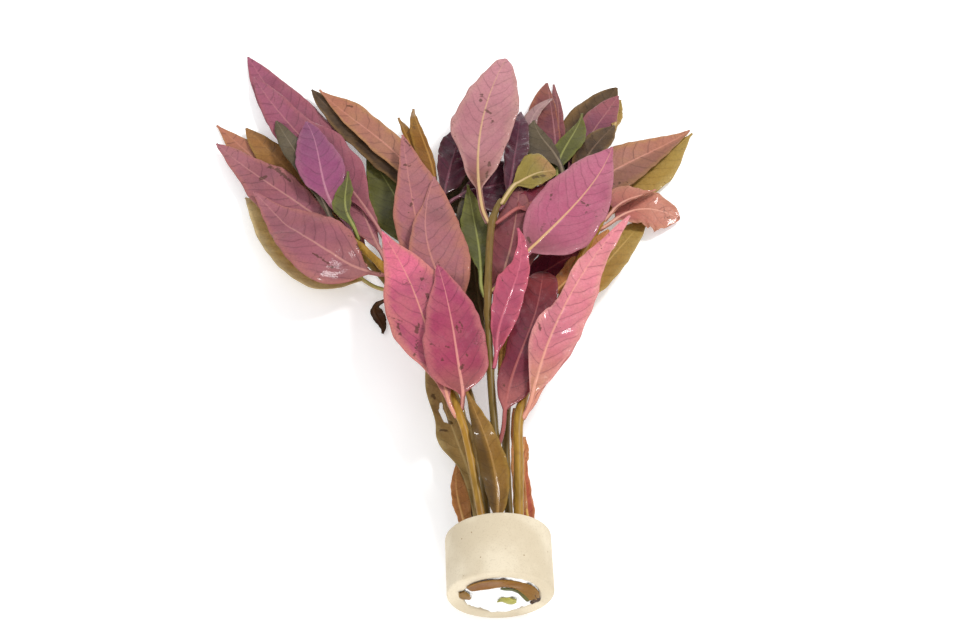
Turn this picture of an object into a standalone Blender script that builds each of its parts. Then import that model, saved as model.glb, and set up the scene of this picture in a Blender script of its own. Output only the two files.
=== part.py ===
"""A bunch of six alternanthera stems held in a ceramic ring weight, lying on its side.

Every size below is in millimetres. X runs to the right, Y from the ring to the leaf tips, Z up.
"""

import math
from collections import namedtuple

import bmesh
import bpy
import numpy as np

# Units and the fit between neighbours
MM = 0.001
STEM_CLEARANCE = 0.5
STALK_CLEARANCE = 0.5
WALL_CLEARANCE = 0.4

# Ceramic ring weight
RING_OUTER_RADIUS = 16.5
RING_BORE_RADIUS = 11.75
RING_LENGTH = 20.0
RING_END_Y = -112.5
RING_CENTRE = (2.0, RING_OUTER_RADIUS)
RING_OUTER_ROUNDING = 0.9
RING_BORE_ROUNDING = 0.6
RING_STEPS = 40
ROUNDING_POINTS = 4

# Wool that packs the bore around the stem ends
WOOL_END_Y = RING_END_Y + 0.4
WOOL_LENGTH = 11.5
WOOL_ROUNDING = 0.8
POCKET_LENGTH = 20.0

# Stems
STEM_RADII = {
    "lowest": 1.25,
    "right_under": 1.25,
    "left_under": 1.25,
    "left": 1.25,
    "right": 1.5,
    "middle": 1.25,
}
STEM_STEPS = 3

# Leaves
LEAF_THICKNESS = 0.6
STALK_HALF_WIDTH = 1.0
TIP_HALF_WIDTH = 0.45
STALK_ROWS = (0.0, 0.5)
BROAD_ROWS = (0.0, 0.1, 0.22, 0.36, 0.5, 0.64, 0.78, 0.9, 1.0)
NARROW_ROWS = (0.0, 0.2, 0.42, 0.64, 0.84, 1.0)
BROAD_COLUMNS = (-1.0, -0.5, 0.0, 0.5, 1.0)
NARROW_COLUMNS = (-1.0, 0.0, 1.0)
BROAD_FROM = 11.0

# How leaves settle on what is already under them
LAYER_GAP = 0.45
CELL = 1.0
FIELD_MIN = (-120.0, -130.0)
FIELD_CELLS = (230, 270)
VALLEY_DEPTH = 1.5
OWN_STEM_REACH = 4.5
SETTLING_STEPS = 40

# Centre line of each stem: the cut end in the wool, the ring's mouth, then on to the shoot tip
STEMS = {
    "lowest": [(0, -106, 8), (-0.5, -92, 8), (-7, -62, 5), (-13.5, -32, 3.5),
               (-22.5, -3.5, 3.5), (-29.5, 10.5, 4.5), (-39, 23.5, 6), (-44.5, 31.5, 6.5)],
    "right_under": [(6, -106, 12.5), (6, -92, 12.5), (6, -61, 14), (7.5, -41, 13.5), (11.5, -18, 11),
                    (17.5, 7, 7), (23, 23.5, 6), (29.5, 37, 11), (34.5, 50, 15)],
    "left_under": [(-1, -106, 14.5), (-1, -92, 14.5), (-2, -65.5, 19), (-3.5, -51.5, 22), (-7, -32.5, 18),
                   (-11, -11.5, 13), (-13.5, 3, 11), (-15, 20.5, 9), (-15, 32, 11), (-13.5, 40.5, 14)],
    "left": [(-2.5, -106, 21), (-2.5, -92, 21), (-6, -64.5, 24), (-9, -51.5, 25), (-16.5, -24, 20),
             (-25.5, 1.5, 13), (-32.5, 15, 11.5), (-40, 24, 11.5), (-46.5, 29.5, 14)],
    "right": [(8.5, -106, 20), (8.5, -92, 20), (9.5, -69.5, 23.5), (10.5, -54, 25), (16.5, -33, 22),
              (25.5, -7, 15), (33, 13.5, 9), (39.5, 26.5, 8), (45, 35.5, 11)],
    "middle": [(2.5, -106, 18.5), (2.5, -92, 18.5), (2.5, -59.5, 22.5), (2, -40.5, 24), (2, -20.5, 24.5),
               (2.5, -4, 24.5), (4, 17, 22.5), (5.5, 27.5, 21), (8.5, 36.5, 20)],
}

# One blade. The stalk starts beside its stem, at a control point number such as 6.25, on side 1
# (left, looking along the stem) or -1. A loose leaf gives its own start instead. Then the tip, the
# sideways bend at one and two thirds of the length, the half widths left and right of the midrib,
# where along the blade each is reached, how sharply base and tip close, and the stalk's length.
# The last pair lifts the left and right margin.
Leaf = namedtuple("Leaf", "name stem at side tip bend half widest shape stalk lift")

# The pile from the floor up. A bare name is the stem that lies at that level.
PILE = [
    Leaf("dead_left", "lowest", 4.9, 1, (-33.5, -5, 1),
          (-4.5, -2), (3, 1.5), (0.44, 0.44), (1.1, 1.05), 2, (0, 0)),
    Leaf("left_salmon_tip", "lowest", 5.9, 1, (-93.5, 89.5, 0.6),
          (-1, -1), (10, 7.5), (0.38, 0.46), (1.1, 0.95), 10, (0, 0)),
    Leaf("left_olive", "lowest", 6.25, -1, (-82.5, 86.5, 0.6),
          (0, 0), (7.5, 6.5), (0.54, 0.44), (1.1, 0.7), 8, (0, 0)),
    Leaf("left_yellow", "lowest", 5.1, 1, (-82, 55.5, 0.6),
          (4, 4), (13, 9), (0.26, 0.36), (0.7, 1), 8, (0, 0)),
    Leaf("left_long_under", "lowest", 6.35, -1, (-83, 122.5, 0.6),
          (-2, -1), (8.5, 11.5), (0.54, 0.42), (1.1, 0.8), 10, (0, 0)),
    "lowest",
    Leaf("orange_at_ring", None, (-6.4, -94, 15), 0, (-9.8, -61, 6),
          (1, 1.5), (3.5, 4), (0.5, 0.5), (0.6, 0.6), 3, (0, 0)),
    Leaf("torn_lower_left", None, (-6.5, -94, 12), 0, (-15, -13, 2.5),
          (-3.5, 0.5), (5.5, 6), (0.54, 0.48), (1.65, 0.7), 10, (0, 0)),
    Leaf("right_ochre", "right", 4.8, -1, (62.5, 43.5, 0.6),
          (1, 0.5), (6.5, 6), (0.45, 0.4), (0.85, 0.9), 6, (0, 0)),
    Leaf("right_olive", "right_under", 6.1, -1, (81, 79, 0.6),
          (1.5, 0.5), (8.5, 9.5), (0.52, 0.58), (1.1, 1.25), 10, (0, 0)),
    Leaf("right_curled", "right", 7.6, -1, (72.5, 39, 2),
          (5.5, 6), (7.5, 9), (0.64, 0.68), (0.7, 0.7), 5, (0, 0)),
    Leaf("back_long", "right_under", 6.6, -1, (55, 102, 0.6),
          (4, 3.5), (10.5, 7.5), (0.64, 0.52), (1.1, 0.7), 8, (0, 0)),
    Leaf("back_purple_under", "right_under", 6.4, 1, (31.5, 104.5, 0.6),
          (-2, -3), (7, 2.5), (0.4, 0.48), (1.1, 0.95), 8, (0, 0)),
    Leaf("right_salmon", "right_under", 6.9, -1, (80, 79.5, 2),
          (5, 2.5), (10.5, 9.5), (0.28, 0.26), (1.1, 1.2), 10, (0, 0)),
    Leaf("back_dark_long", "right_under", 7.15, -1, (55, 96.5, 2),
          (4, 3), (6, 7.5), (0.74, 0.48), (1.1, 0.8), 6, (0, 0)),
    Leaf("back_purple", "right_under", 7, 1, (29, 104, 2),
          (-2, -1.5), (10, 2), (0.56, 0.62), (1.2, 0.75), 6, (0, 0)),
    Leaf("back_dark", "right_under", 7.5, -1, (52, 78.5, 6),
          (3, 2.5), (5.5, 4.5), (0.58, 0.7), (1.15, 0.8), 5, (0, 0)),
    Leaf("back_narrow", "right_under", 7.4, 1, (30, 90.5, 9),
          (3.5, 8.5), (3, 2), (0.74, 0.74), (1.15, 0.7), 5, (0, 0)),
    Leaf("back_rust", "right_under", 7.6, 1, (40.5, 84, 8),
          (3, 1), (4, 5), (0.34, 0.6), (1.1, 1.75), 4, (0, 0)),
    Leaf("back_grey", "right_under", 7.8, 1, (22.5, 78, 12),
          (-1.5, 0), (8.5, 2.5), (0.54, 0.58), (1.8, 0.95), 3, (0, 0)),
    "right_under",
    Leaf("red_at_ring", None, (12.4, -94, 15), 0, (13, -56.5, 8),
          (1, 1.5), (3, 2.5), (0.3, 0.3), (0.6, 0.9), 3, (0, 0)),
    Leaf("right_folded", "right", 7.95, -1, (64.5, 49.5, 6),
          (3, 1.5), (7, 2.5), (0.32, 0.38), (1.1, 1.5), 4, (0, 3)),
    "right",
    Leaf("left_bruised", "left", 7, 1, (-93, 79, 3),
          (-1.5, 0), (12, 8), (0.28, 0.58), (1.35, 1.25), 8, (0, 0)),
    Leaf("centre_left_green", "left_under", 6.8, 1, (-38.5, 73, 3),
          (-1.5, -1.5), (10.5, 10), (0.36, 0.42), (0.8, 1), 8, (0, 0)),
    Leaf("left_olive_under", "left_under", 7.6, 1, (-58.5, 103, 2),
          (-7.5, -3.5), (5.5, 8), (0.54, 0.48), (1.15, 0.75), 8, (0, 0)),
    Leaf("left_peach", "left_under", 7.9, 1, (-55.5, 101, 4),
          (-9.5, -5), (5, 6.5), (0.5, 0.74), (0.75, 1.3), 8, (0, 0)),
    Leaf("orange_low", "left_under", 8.2, 1, (-26.5, 87, 5),
          (-3.5, -1.5), (1.5, 3), (0.48, 0.58), (1.1, 1), 5, (0, 0)),
    Leaf("orange_high", "left_under", 8.5, 1, (-21, 91, 5),
          (-4, -1.5), (4.5, 1.5), (0.44, 0.48), (1.1, 1), 5, (0, 0)),
    Leaf("dark_left", "left_under", 8.8, -1, (-5, 77.5, 10),
          (0.5, -0.5), (6, 6), (0.72, 0.28), (0.8, 0.75), 6, (0, 0)),
    Leaf("dark_middle", "left_under", 8.6, -1, (25.5, 56.5, 12),
          (3, 0.5), (9.5, 11.5), (0.56, 0.26), (1.15, 0.7), 8, (0, 0)),
    "left_under",
    Leaf("left_behind_stalk", "left", 6.1, -1, (-46, 56.5, 9),
          (0.5, -0.5), (6.5, 4), (0.5, 0.52), (1.3, 1.05), 5, (0, 0)),
    Leaf("left_long_over", "left", 5.7, -1, (-80, 109.5, 4),
          (-4, -1), (9.5, 11), (0.38, 0.36), (1.75, 0.85), 22, (0, 0)),
    Leaf("left_grey", "left", 8, 1, (-71, 85.5, 7),
          (-1.5, -1), (4, 4.5), (0.74, 0.6), (1.1, 0.7), 5, (0, 0)),
    "left",
    Leaf("green_centre", "middle", 4.9, 1, (-2.5, 47, 12),
          (-1.5, -1), (5.5, 5), (0.46, 0.54), (1.3, 1.2), 8, (0, 0)),
    Leaf("left_inner", "left", 7.7, -1, (-60, 83, 9),
          (3.5, 1), (9, 8.5), (0.52, 0.36), (1.8, 0.8), 10, (0, 0)),
    Leaf("left_small_green", "left", 7.4, -1, (-44.5, 55.5, 14),
          (3, 2), (4.5, 2.5), (0.38, 0.64), (1.2, 1.55), 2, (0, 0)),
    Leaf("left_broad", "left", 5.9, 1, (-78.5, 52.5, 8),
          (7, 4.5), (12.5, 13), (0.26, 0.26), (0.7, 1.35), 3, (0, 0)),
    Leaf("centre_left_back", "left_under", 5, -1, (-25, 71.5, 14),
          (4, 3), (8, 13), (0.32, 0.46), (1.1, 1.15), 8, (0, 0)),
    Leaf("centre_left_front", "left_under", 4.75, -1, (-14, 49.5, 17),
          (5, 6), (8, 15), (0.26, 0.58), (0.7, 1.6), 5, (0, 0)),
    Leaf("dark_right", "middle", 7.6, -1, (18, 83.5, 10),
          (-0.5, -0.5), (4, 4.5), (0.54, 0.58), (1.1, 0.75), 4, (0, 0)),
    Leaf("right_under_large", "middle", 4.4, -1, (27.5, 49.5, 10),
          (2.5, 3), (5.5, 8.5), (0.48, 0.48), (1.1, 1), 7, (0, 0)),
    Leaf("right_small_back", "middle", 6.9, -1, (28.5, 45, 15),
          (0, 0), (5.5, 8), (0.44, 0.48), (1.15, 1), 8, (0, 0)),
    Leaf("front_mauve", "middle", 1.95, -1, (21.5, 10.5, 12),
          (1, -1.5), (5, 9), (0.26, 0.26), (0.7, 0.7), 8, (0, 0)),
    "middle",
    Leaf("olive_top", "middle", 7.9, -1, (28.5, 51, 17),
          (4, 3), (11, 6.5), (0.74, 0.4), (1.4, 0.7), 8, (0, 0)),
    Leaf("right_large", "middle", 5, -1, (49, 59, 19),
          (-1, -3), (13.5, 14.5), (0.5, 0.26), (0.7, 1.1), 20, (0, 0)),
    Leaf("front_pink", "middle", 3.3, -1, (13.5, 18, 28),
          (1, -2), (5.5, 5.5), (0.44, 0.3), (1.3, 1.2), 4, (0, 0)),
    Leaf("top_large", "middle", 6.9, 1, (13.5, 103.5, 17),
          (5, 5), (10.5, 12.5), (0.5, 0.56), (0.8, 0.8), 14, (0, 0)),
    Leaf("front_right_under", "right", 3.1, -1, (44, 16.5, 16),
          (-1, 0), (4, 4), (0.44, 0.36), (1.15, 1.05), 6, (0, 0)),
    Leaf("front_right", "right", 3, -1, (52, 24, 25),
          (5, 5.5), (5.5, 9.5), (0.28, 0.32), (0.75, 1.1), 6, (0, 0)),
    Leaf("front_left", "left", 2.95, 1, (-32.5, 23.5, 21),
          (-2.5, -2.5), (12, 11), (0.44, 0.54), (1.5, 1.3), 5, (0, 0)),
    Leaf("front_middle", "left", 3.05, -1, (-14, 5, 26),
          (-0.5, -1), (11, 11), (0.26, 0.26), (0.7, 0.8), 3, (0, 0)),
    Leaf("brown_at_stems", None, (1, -95, 24.5), 0, (-6, -47, 27),
          (-3.5, -3), (4.5, 4.5), (0.42, 0.4), (0.8, 0.85), 3, (0, 0)),
]

# Colours of the pieces, as linear RGB
CERAMIC = (0.78, 0.71, 0.58)
WOOL = (0.85, 0.85, 0.83)
STEM = (0.48, 0.30, 0.17)
LEAF_COLOURS = {
    "mauve": (0.42, 0.17, 0.20),
    "pink": (0.58, 0.20, 0.26),
    "salmon": (0.62, 0.27, 0.19),
    "olive": (0.27, 0.22, 0.07),
    "dark": (0.10, 0.05, 0.07),
    "brown": (0.26, 0.14, 0.07),
}
LEAF_TONES = {
    "pink": ("front_right", "front_pink", "front_left", "front_middle", "right_large", "red_at_ring"),
    "salmon": ("left_salmon_tip", "right_salmon", "orange_low", "left_peach", "right_curled"),
    "olive": ("left_olive", "left_yellow", "right_ochre", "right_olive", "left_grey", "olive_top",
              "centre_left_green", "green_centre", "left_small_green", "left_olive_under", "back_grey"),
    "dark": ("dark_left", "dark_right", "dark_middle", "back_dark", "back_dark_long", "back_purple"),
    "brown": ("dead_left", "torn_lower_left", "brown_at_stems", "orange_at_ring", "orange_high"),
}


def smooth_line(points, steps):
    """Points on a smooth curve through the control points."""
    points = np.array(points, float)
    ends = (2 * points[0] - points[1], 2 * points[-1] - points[-2])
    padded = np.vstack([ends[0], points, ends[1]])
    line = []
    for i in range(1, len(padded) - 2):
        before, here, there, after = padded[i - 1:i + 3]
        for k in range(steps):
            t = k / steps
            line.append(0.5 * (2 * here + (there - before) * t
                               + (2 * before - 5 * here + 4 * there - after) * t ** 2
                               + (3 * here - before - 3 * there + after) * t ** 3))
    line.append(points[-1])
    return np.array(line)


STEM_LINES = {name: smooth_line(points, STEM_STEPS) for name, points in STEMS.items()}


def on_stem(stem, at):
    """Position and direction at a control point number along a stem."""
    line = STEM_LINES[stem]
    step = min(int(at * STEM_STEPS), len(line) - 2)
    part = at * STEM_STEPS - step
    along = line[step + 1] - line[step]
    return line[step] + along * part, along / np.linalg.norm(along)


def leaf_start(leaf):
    """Where the stalk leaves the side of its stem."""
    if leaf.stem is None:
        return np.array(leaf.at, float)
    start, along = on_stem(leaf.stem, leaf.at)
    flat = along[:2] / np.linalg.norm(along[:2])
    sideways = leaf.side * np.array([-flat[1], flat[0]])
    start[:2] += sideways * (STEM_RADII[leaf.stem] + STALK_CLEARANCE + STALK_HALF_WIDTH)
    return start


def blade_width(part, widest, shape):
    """Half width, from 0 to 1, at a part of the blade's length."""
    opening = np.sin(math.pi / 2 * np.clip(part / widest, 0, 1)) ** shape[0]
    closing = np.cos(math.pi / 2 * np.clip((part - widest) / (1 - widest), 0, 1)) ** shape[1]
    return np.where(part < widest, opening, closing)


def sideways_bend(t, bend):
    """Offset of the midrib that is 0 at both ends and takes the given values at the thirds."""
    return t * (1 - t) * (9 * bend[0] - 4.5 * bend[1] + 13.5 * (bend[1] - bend[0]) * t)


class LaidLeaf:
    """A leaf's outline in plan, with one height for each row across it."""

    def __init__(self, leaf):
        self.leaf = leaf
        self.start = leaf_start(leaf)
        chord = np.array(leaf.tip[:2]) - self.start[:2]
        self.length = np.linalg.norm(chord)
        self.along = chord / self.length
        self.stalk_part = min(leaf.stalk / self.length, 0.45)
        broad = max(leaf.half) >= BROAD_FROM
        blade_rows = BROAD_ROWS if broad else NARROW_ROWS
        self.rows = np.array([self.stalk_part * r for r in STALK_ROWS]
                             + [self.stalk_part + (1 - self.stalk_part) * r for r in blade_rows])
        self.columns = np.array(BROAD_COLUMNS if broad else NARROW_COLUMNS)
        self.heights = self.start[2] + (leaf.tip[2] - self.start[2]) * self.rows
        self.plan = self.outline(*np.meshgrid(self.rows, self.columns, indexing="ij"))

    def blade_part(self, t):
        return np.clip((t - self.stalk_part) / (1 - self.stalk_part), 0, 1)

    def outline(self, t, v):
        """Plan position at t along the leaf and v across it, from -1 to 1."""
        leaf = self.leaf
        left = np.array([-self.along[1], self.along[0]])
        small = 0.001
        rise = sideways_bend(t + small, leaf.bend) - sideways_bend(t - small, leaf.bend)
        slope = rise / (2 * small * self.length)
        size = np.hypot(1, slope)
        part = self.blade_part(t)
        widths = [leaf.half[i] * blade_width(part, leaf.widest[i], leaf.shape) for i in (0, 1)]
        least = STALK_HALF_WIDTH + (TIP_HALF_WIDTH - STALK_HALF_WIDTH) * part
        across = v * np.maximum(np.where(v > 0, widths[0], widths[1]), least)
        bend = sideways_bend(t, leaf.bend)
        return np.stack([self.start[i] + self.along[i] * self.length * t + left[i] * bend
                         + (left[i] - self.along[i] * slope) / size * across for i in (0, 1)], -1)

    def margin_lift(self, t, v):
        part = self.blade_part(t)
        return np.where(v > 0, self.leaf.lift[0], self.leaf.lift[1]) * v ** 2 * 4 * part * (1 - part)

    def points(self):
        """The grid of the leaf's middle surface."""
        t, v = np.meshgrid(self.rows, self.columns, indexing="ij")
        heights = self.heights[:, None] + self.margin_lift(t, v)
        return np.concatenate([self.plan, heights[..., None]], -1)


def blend_table(at, samples):
    """Weights that read samples off values given at the places in at."""
    return np.array([np.interp(samples, at, unit) for unit in np.eye(len(at))]).T


def cells_of(x, y):
    return (np.clip(((x - FIELD_MIN[0]) / CELL).astype(int), 1, FIELD_CELLS[0] - 2),
            np.clip(((y - FIELD_MIN[1]) / CELL).astype(int), 1, FIELD_CELLS[1] - 2))


def spread(field):
    """The highest value in each cell and its eight neighbours."""
    shifts = [(i, j) for i in (-1, 0, 1) for j in (-1, 0, 1)]
    return np.maximum.reduce([np.roll(field, shift, (0, 1)) for shift in shifts])


def settle(laid, all_tops, other_tops):
    """Raises the leaf's rows until it clears what lies under it, and returns its own tops."""
    t = np.linspace(0, 1, 110)
    v = np.linspace(-1, 1, 33)
    across = blend_table(laid.columns, v)
    lengthwise = blend_table(laid.rows, t)
    grid = np.einsum("tr,rck,vc->tvk", lengthwise, laid.points(), across)
    cells = cells_of(grid[..., 0], grid[..., 1])
    reach = np.hypot(grid[..., 0] - laid.start[0], grid[..., 1] - laid.start[1])
    below = np.where(reach > OWN_STEM_REACH, all_tops[cells], other_tops[cells])
    for _ in range(SETTLING_STEPS):
        heights = np.einsum("tr,rc,vc->tv", lengthwise, laid.points()[..., 2], across)
        short = (below + LAYER_GAP + LEAF_THICKNESS / 2 - heights).max(axis=1)
        if short.max() < 0.01:
            break
        weight = np.where(lengthwise > 0.2, np.maximum(0.5, (lengthwise >= 0.5) * 1.0), 0)
        laid.heights += 0.8 * (weight * np.maximum(short, 0)[:, None]).max(axis=0)
        for k in range(1, len(laid.rows) - 1):
            span = laid.rows[k + 1] - laid.rows[k - 1]
            part = (laid.rows[k] - laid.rows[k - 1]) / span
            bridge = laid.heights[k - 1] * (1 - part) + laid.heights[k + 1] * part
            laid.heights[k] = max(laid.heights[k], bridge - VALLEY_DEPTH)
    return cells, heights + LEAF_THICKNESS / 2


def stem_tops(stem, field):
    """Marks the height of a stem's upper side in its own field."""
    line = np.vstack([np.linspace(a, b, 12) for a, b in zip(STEM_LINES[stem], STEM_LINES[stem][1:])])
    along = np.gradient(line[:, :2], axis=0)
    along /= np.linalg.norm(along, axis=1)[:, None] + 1e-9
    for offset in (-1.0, -0.5, 0.0, 0.5, 1.0):
        cells = cells_of(line[:, 0] - along[:, 1] * offset, line[:, 1] + along[:, 0] * offset)
        np.maximum.at(field, cells, line[:, 2] + STEM_RADII[stem])


def lay_pile():
    """Lays leaves and stems one over another, from the floor up."""
    leaf_field = np.zeros(FIELD_CELLS)
    stem_fields = {stem: np.zeros(FIELD_CELLS) for stem in STEMS}
    laid_leaves = []
    for item in PILE:
        if isinstance(item, str):
            stem_tops(item, stem_fields[item])
            continue
        laid = LaidLeaf(item)
        others = [stem_fields[stem] for stem in STEMS if stem != item.stem]
        other_tops = spread(np.maximum.reduce([leaf_field] + others))
        all_tops = spread(np.maximum.reduce([leaf_field] + list(stem_fields.values())))
        cells, tops = settle(laid, all_tops, other_tops)
        np.maximum.at(leaf_field, cells, tops)
        laid_leaves.append(laid)
    return laid_leaves


def make_material(name, colour, roughness):
    material = bpy.data.materials.new(name)
    material.use_nodes = True
    shader = material.node_tree.nodes["Principled BSDF"]
    shader.inputs["Base Color"].default_value = (*colour, 1.0)
    shader.inputs["Roughness"].default_value = roughness
    shader.inputs["Metallic"].default_value = 0.0
    material.diffuse_color = (*colour, 1.0)
    return material


def new_object(name, data, collection, material=None):
    made = bpy.data.objects.new(name, data)
    collection.objects.link(made)
    if material:
        data.materials.append(material)
    return made


def new_collection(name):
    collection = bpy.data.collections.new(name)
    bpy.context.scene.collection.children.link(collection)
    return collection


def rounded_profile():
    """The ring's cross-section as (radius, height) points, outer side from top to bottom first."""
    corners = [
        (RING_OUTER_RADIUS, RING_LENGTH, RING_OUTER_ROUNDING, -1, -1, 90),
        (RING_OUTER_RADIUS, 0, RING_OUTER_ROUNDING, -1, 1, 0),
        (RING_BORE_RADIUS, 0, RING_BORE_ROUNDING, 1, 1, -90),
        (RING_BORE_RADIUS, RING_LENGTH, RING_BORE_ROUNDING, 1, -1, -180),
    ]
    profile = []
    for radius, height, rounding, inward, upward, start in corners:
        centre = (radius + inward * rounding, height + upward * rounding)
        for k in range(ROUNDING_POINTS):
            angle = math.radians(start - 90 * k / (ROUNDING_POINTS - 1))
            profile.append((centre[0] + rounding * math.cos(angle),
                            centre[1] + rounding * math.sin(angle)))
    return profile


def add_ring(collection):
    profile = rounded_profile()
    mesh = bpy.data.meshes.new("ceramic_ring")
    outline = bmesh.new()
    corners = [outline.verts.new((radius * MM, 0, height * MM)) for radius, height in profile]
    for first, second in zip(corners, corners[1:] + corners[:1]):
        outline.edges.new((first, second))
    outline.to_mesh(mesh)
    outline.free()
    ring = new_object("ceramic_ring", mesh, collection, make_material("Ceramic", CERAMIC, 0.75))
    screw = ring.modifiers.new("Turn", "SCREW")
    screw.angle = math.tau
    screw.steps = RING_STEPS
    screw.render_steps = RING_STEPS
    screw.use_merge_vertices = True
    screw.merge_threshold = 0.00001
    lay_on_side(ring, RING_END_Y)
    return ring


def lay_on_side(made, end_y):
    """Turns an upright part so that its +Z runs along +Y, on the ring's axis."""
    made.rotation_euler = (-math.pi / 2, 0, 0)
    made.location = (RING_CENTRE[0] * MM, end_y * MM, RING_CENTRE[1] * MM)


def add_cylinder(name, radius, length, segments, collection, material=None):
    """A cylinder along its own Z, centred on its origin."""
    solid = bmesh.new()
    bmesh.ops.create_cone(solid, cap_ends=True, segments=segments, radius1=radius * MM,
                          radius2=radius * MM, depth=length * MM)
    mesh = bpy.data.meshes.new(name)
    solid.to_mesh(mesh)
    solid.free()
    return new_object(name, mesh, collection, material)


def add_wool(collection, cutters):
    wool = add_cylinder("wool_plug", RING_BORE_RADIUS - WALL_CLEARANCE, WOOL_LENGTH, RING_STEPS,
                        collection, make_material("Wool", WOOL, 1.0))
    lay_on_side(wool, WOOL_END_Y + WOOL_LENGTH / 2)
    bevel = wool.modifiers.new("Soft edges", "BEVEL")
    bevel.width = WOOL_ROUNDING * MM
    bevel.segments = 2
    bevel.limit_method = "ANGLE"
    for stem, points in STEMS.items():
        cut = wool.modifiers.new("Pocket for " + stem, "BOOLEAN")
        cut.operation = "DIFFERENCE"
        cut.solver = "EXACT"
        cut.object = add_pocket_cutter(stem, points[0], cutters)
    return wool


def add_pocket_cutter(stem, cut_end, cutters):
    cutter = add_cylinder("cutter_" + stem, STEM_RADII[stem] + STEM_CLEARANCE, POCKET_LENGTH, 16,
                          cutters)
    cutter.rotation_euler = (-math.pi / 2, 0, 0)
    middle_y = cut_end[1] - STEM_CLEARANCE + POCKET_LENGTH / 2
    cutter.location = (cut_end[0] * MM, middle_y * MM, cut_end[2] * MM)
    cutter.hide_render = True
    cutter.display_type = "WIRE"
    return cutter


def add_stem(stem, collection, material):
    curve = bpy.data.curves.new("stem_" + stem, "CURVE")
    curve.dimensions = "3D"
    curve.bevel_depth = STEM_RADII[stem] * MM
    curve.bevel_resolution = 2
    curve.resolution_u = 1
    curve.use_fill_caps = True
    line = STEM_LINES[stem]
    spline = curve.splines.new("POLY")
    spline.points.add(len(line) - 1)
    for point, place in zip(spline.points, line):
        point.co = (*(place * MM), 1.0)
    return new_object("stem_" + stem, curve, collection, material)


def add_leaf(laid, collection, material):
    points = laid.points()
    rows, columns = points.shape[:2]
    grid = bmesh.new()
    bmesh.ops.create_grid(grid, x_segments=rows - 1, y_segments=columns - 1, size=0.5)
    for vert in grid.verts:
        row = round((vert.co.x + 0.5) * (rows - 1))
        column = round((vert.co.y + 0.5) * (columns - 1))
        vert.co = points[row, column] * MM
    name = "leaf_" + laid.leaf.name
    mesh = bpy.data.meshes.new(name)
    grid.to_mesh(mesh)
    grid.free()
    leaf = new_object(name, mesh, collection, material)
    thickness = leaf.modifiers.new("Thickness", "SOLIDIFY")
    thickness.thickness = LEAF_THICKNESS * MM
    thickness.offset = 0
    return leaf


def centre_on_floor(parts):
    """Moves the bunch so that the middle of its footprint is at the origin."""
    bpy.context.view_layer.update()
    graph = bpy.context.evaluated_depsgraph_get()
    low = np.full(3, np.inf)
    high = np.full(3, -np.inf)
    for part in parts:
        shaped = part.evaluated_get(graph)
        mesh = shaped.to_mesh()
        for vert in mesh.vertices:
            place = np.array(shaped.matrix_world @ vert.co)
            low = np.minimum(low, place)
            high = np.maximum(high, place)
        shaped.to_mesh_clear()
    middle = (low + high) / 2
    shift = bpy.data.objects.new("bunch", None)
    bpy.context.scene.collection.objects.link(shift)
    for made in list(bpy.data.objects):
        if made.type in ("MESH", "CURVE"):
            made.parent = shift
    shift.location = (-middle[0], -middle[1], -low[2])


def main():
    for old in list(bpy.data.objects):
        bpy.data.objects.remove(old, do_unlink=True)
    bunch = new_collection("Alternanthera bunch")
    cutters = new_collection("Cutters")
    cutters.hide_render = True
    parts = [add_ring(bunch), add_wool(bunch, cutters)]
    stem_material = make_material("Stem", STEM, 0.5)
    parts += [add_stem(stem, bunch, stem_material) for stem in STEMS]
    tones = {tone: make_material("Leaf " + tone, LEAF_COLOURS[tone], 0.4) for tone in LEAF_COLOURS}
    tone_of = {name: tone for tone, names in LEAF_TONES.items() for name in names}
    for laid in lay_pile():
        parts.append(add_leaf(laid, bunch, tones[tone_of.get(laid.leaf.name, "mauve")]))
    centre_on_floor(parts)


main()
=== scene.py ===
import math
from collections import namedtuple

import bmesh
import bpy
import numpy as np
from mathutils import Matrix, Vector, noise

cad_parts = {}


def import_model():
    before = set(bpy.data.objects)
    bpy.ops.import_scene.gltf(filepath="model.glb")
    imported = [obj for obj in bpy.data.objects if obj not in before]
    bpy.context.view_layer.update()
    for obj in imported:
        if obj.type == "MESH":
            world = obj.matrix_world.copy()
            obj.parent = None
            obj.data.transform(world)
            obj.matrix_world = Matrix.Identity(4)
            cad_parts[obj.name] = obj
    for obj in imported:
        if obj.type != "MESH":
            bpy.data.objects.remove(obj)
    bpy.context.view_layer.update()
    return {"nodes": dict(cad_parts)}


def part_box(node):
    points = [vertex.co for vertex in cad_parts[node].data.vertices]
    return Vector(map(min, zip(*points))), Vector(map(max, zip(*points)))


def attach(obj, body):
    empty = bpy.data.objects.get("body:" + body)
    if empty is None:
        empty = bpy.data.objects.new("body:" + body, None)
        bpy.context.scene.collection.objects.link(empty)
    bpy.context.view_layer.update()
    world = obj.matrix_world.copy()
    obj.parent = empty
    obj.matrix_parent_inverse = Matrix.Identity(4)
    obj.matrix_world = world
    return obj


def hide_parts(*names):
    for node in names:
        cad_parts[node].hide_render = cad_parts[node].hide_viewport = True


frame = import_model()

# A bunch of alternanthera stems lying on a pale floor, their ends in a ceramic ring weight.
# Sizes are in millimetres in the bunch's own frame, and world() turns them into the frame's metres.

MM = 0.001

# Ceramic ring weight
RING_OUTER_RADIUS = 16.5
RING_BORE_RADIUS = 11.75
RING_LENGTH = 20.0
RING_END_Y = -112.5
RING_CENTRE = (2.0, RING_OUTER_RADIUS)
RING_OUTER_ROUNDING = 0.9
RING_BORE_ROUNDING = 0.6
RING_STEPS_AROUND = 160
RING_CUTS = 28
RING_MIDDLE_RADIUS = 14.0
CORNER_POINTS = 6

# Wool that packs the bore around the stem ends
WOOL_END_Y = RING_END_Y + 0.4
WOOL_LENGTH = 11.5
WOOL_CLEARANCE = 0.12

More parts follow.
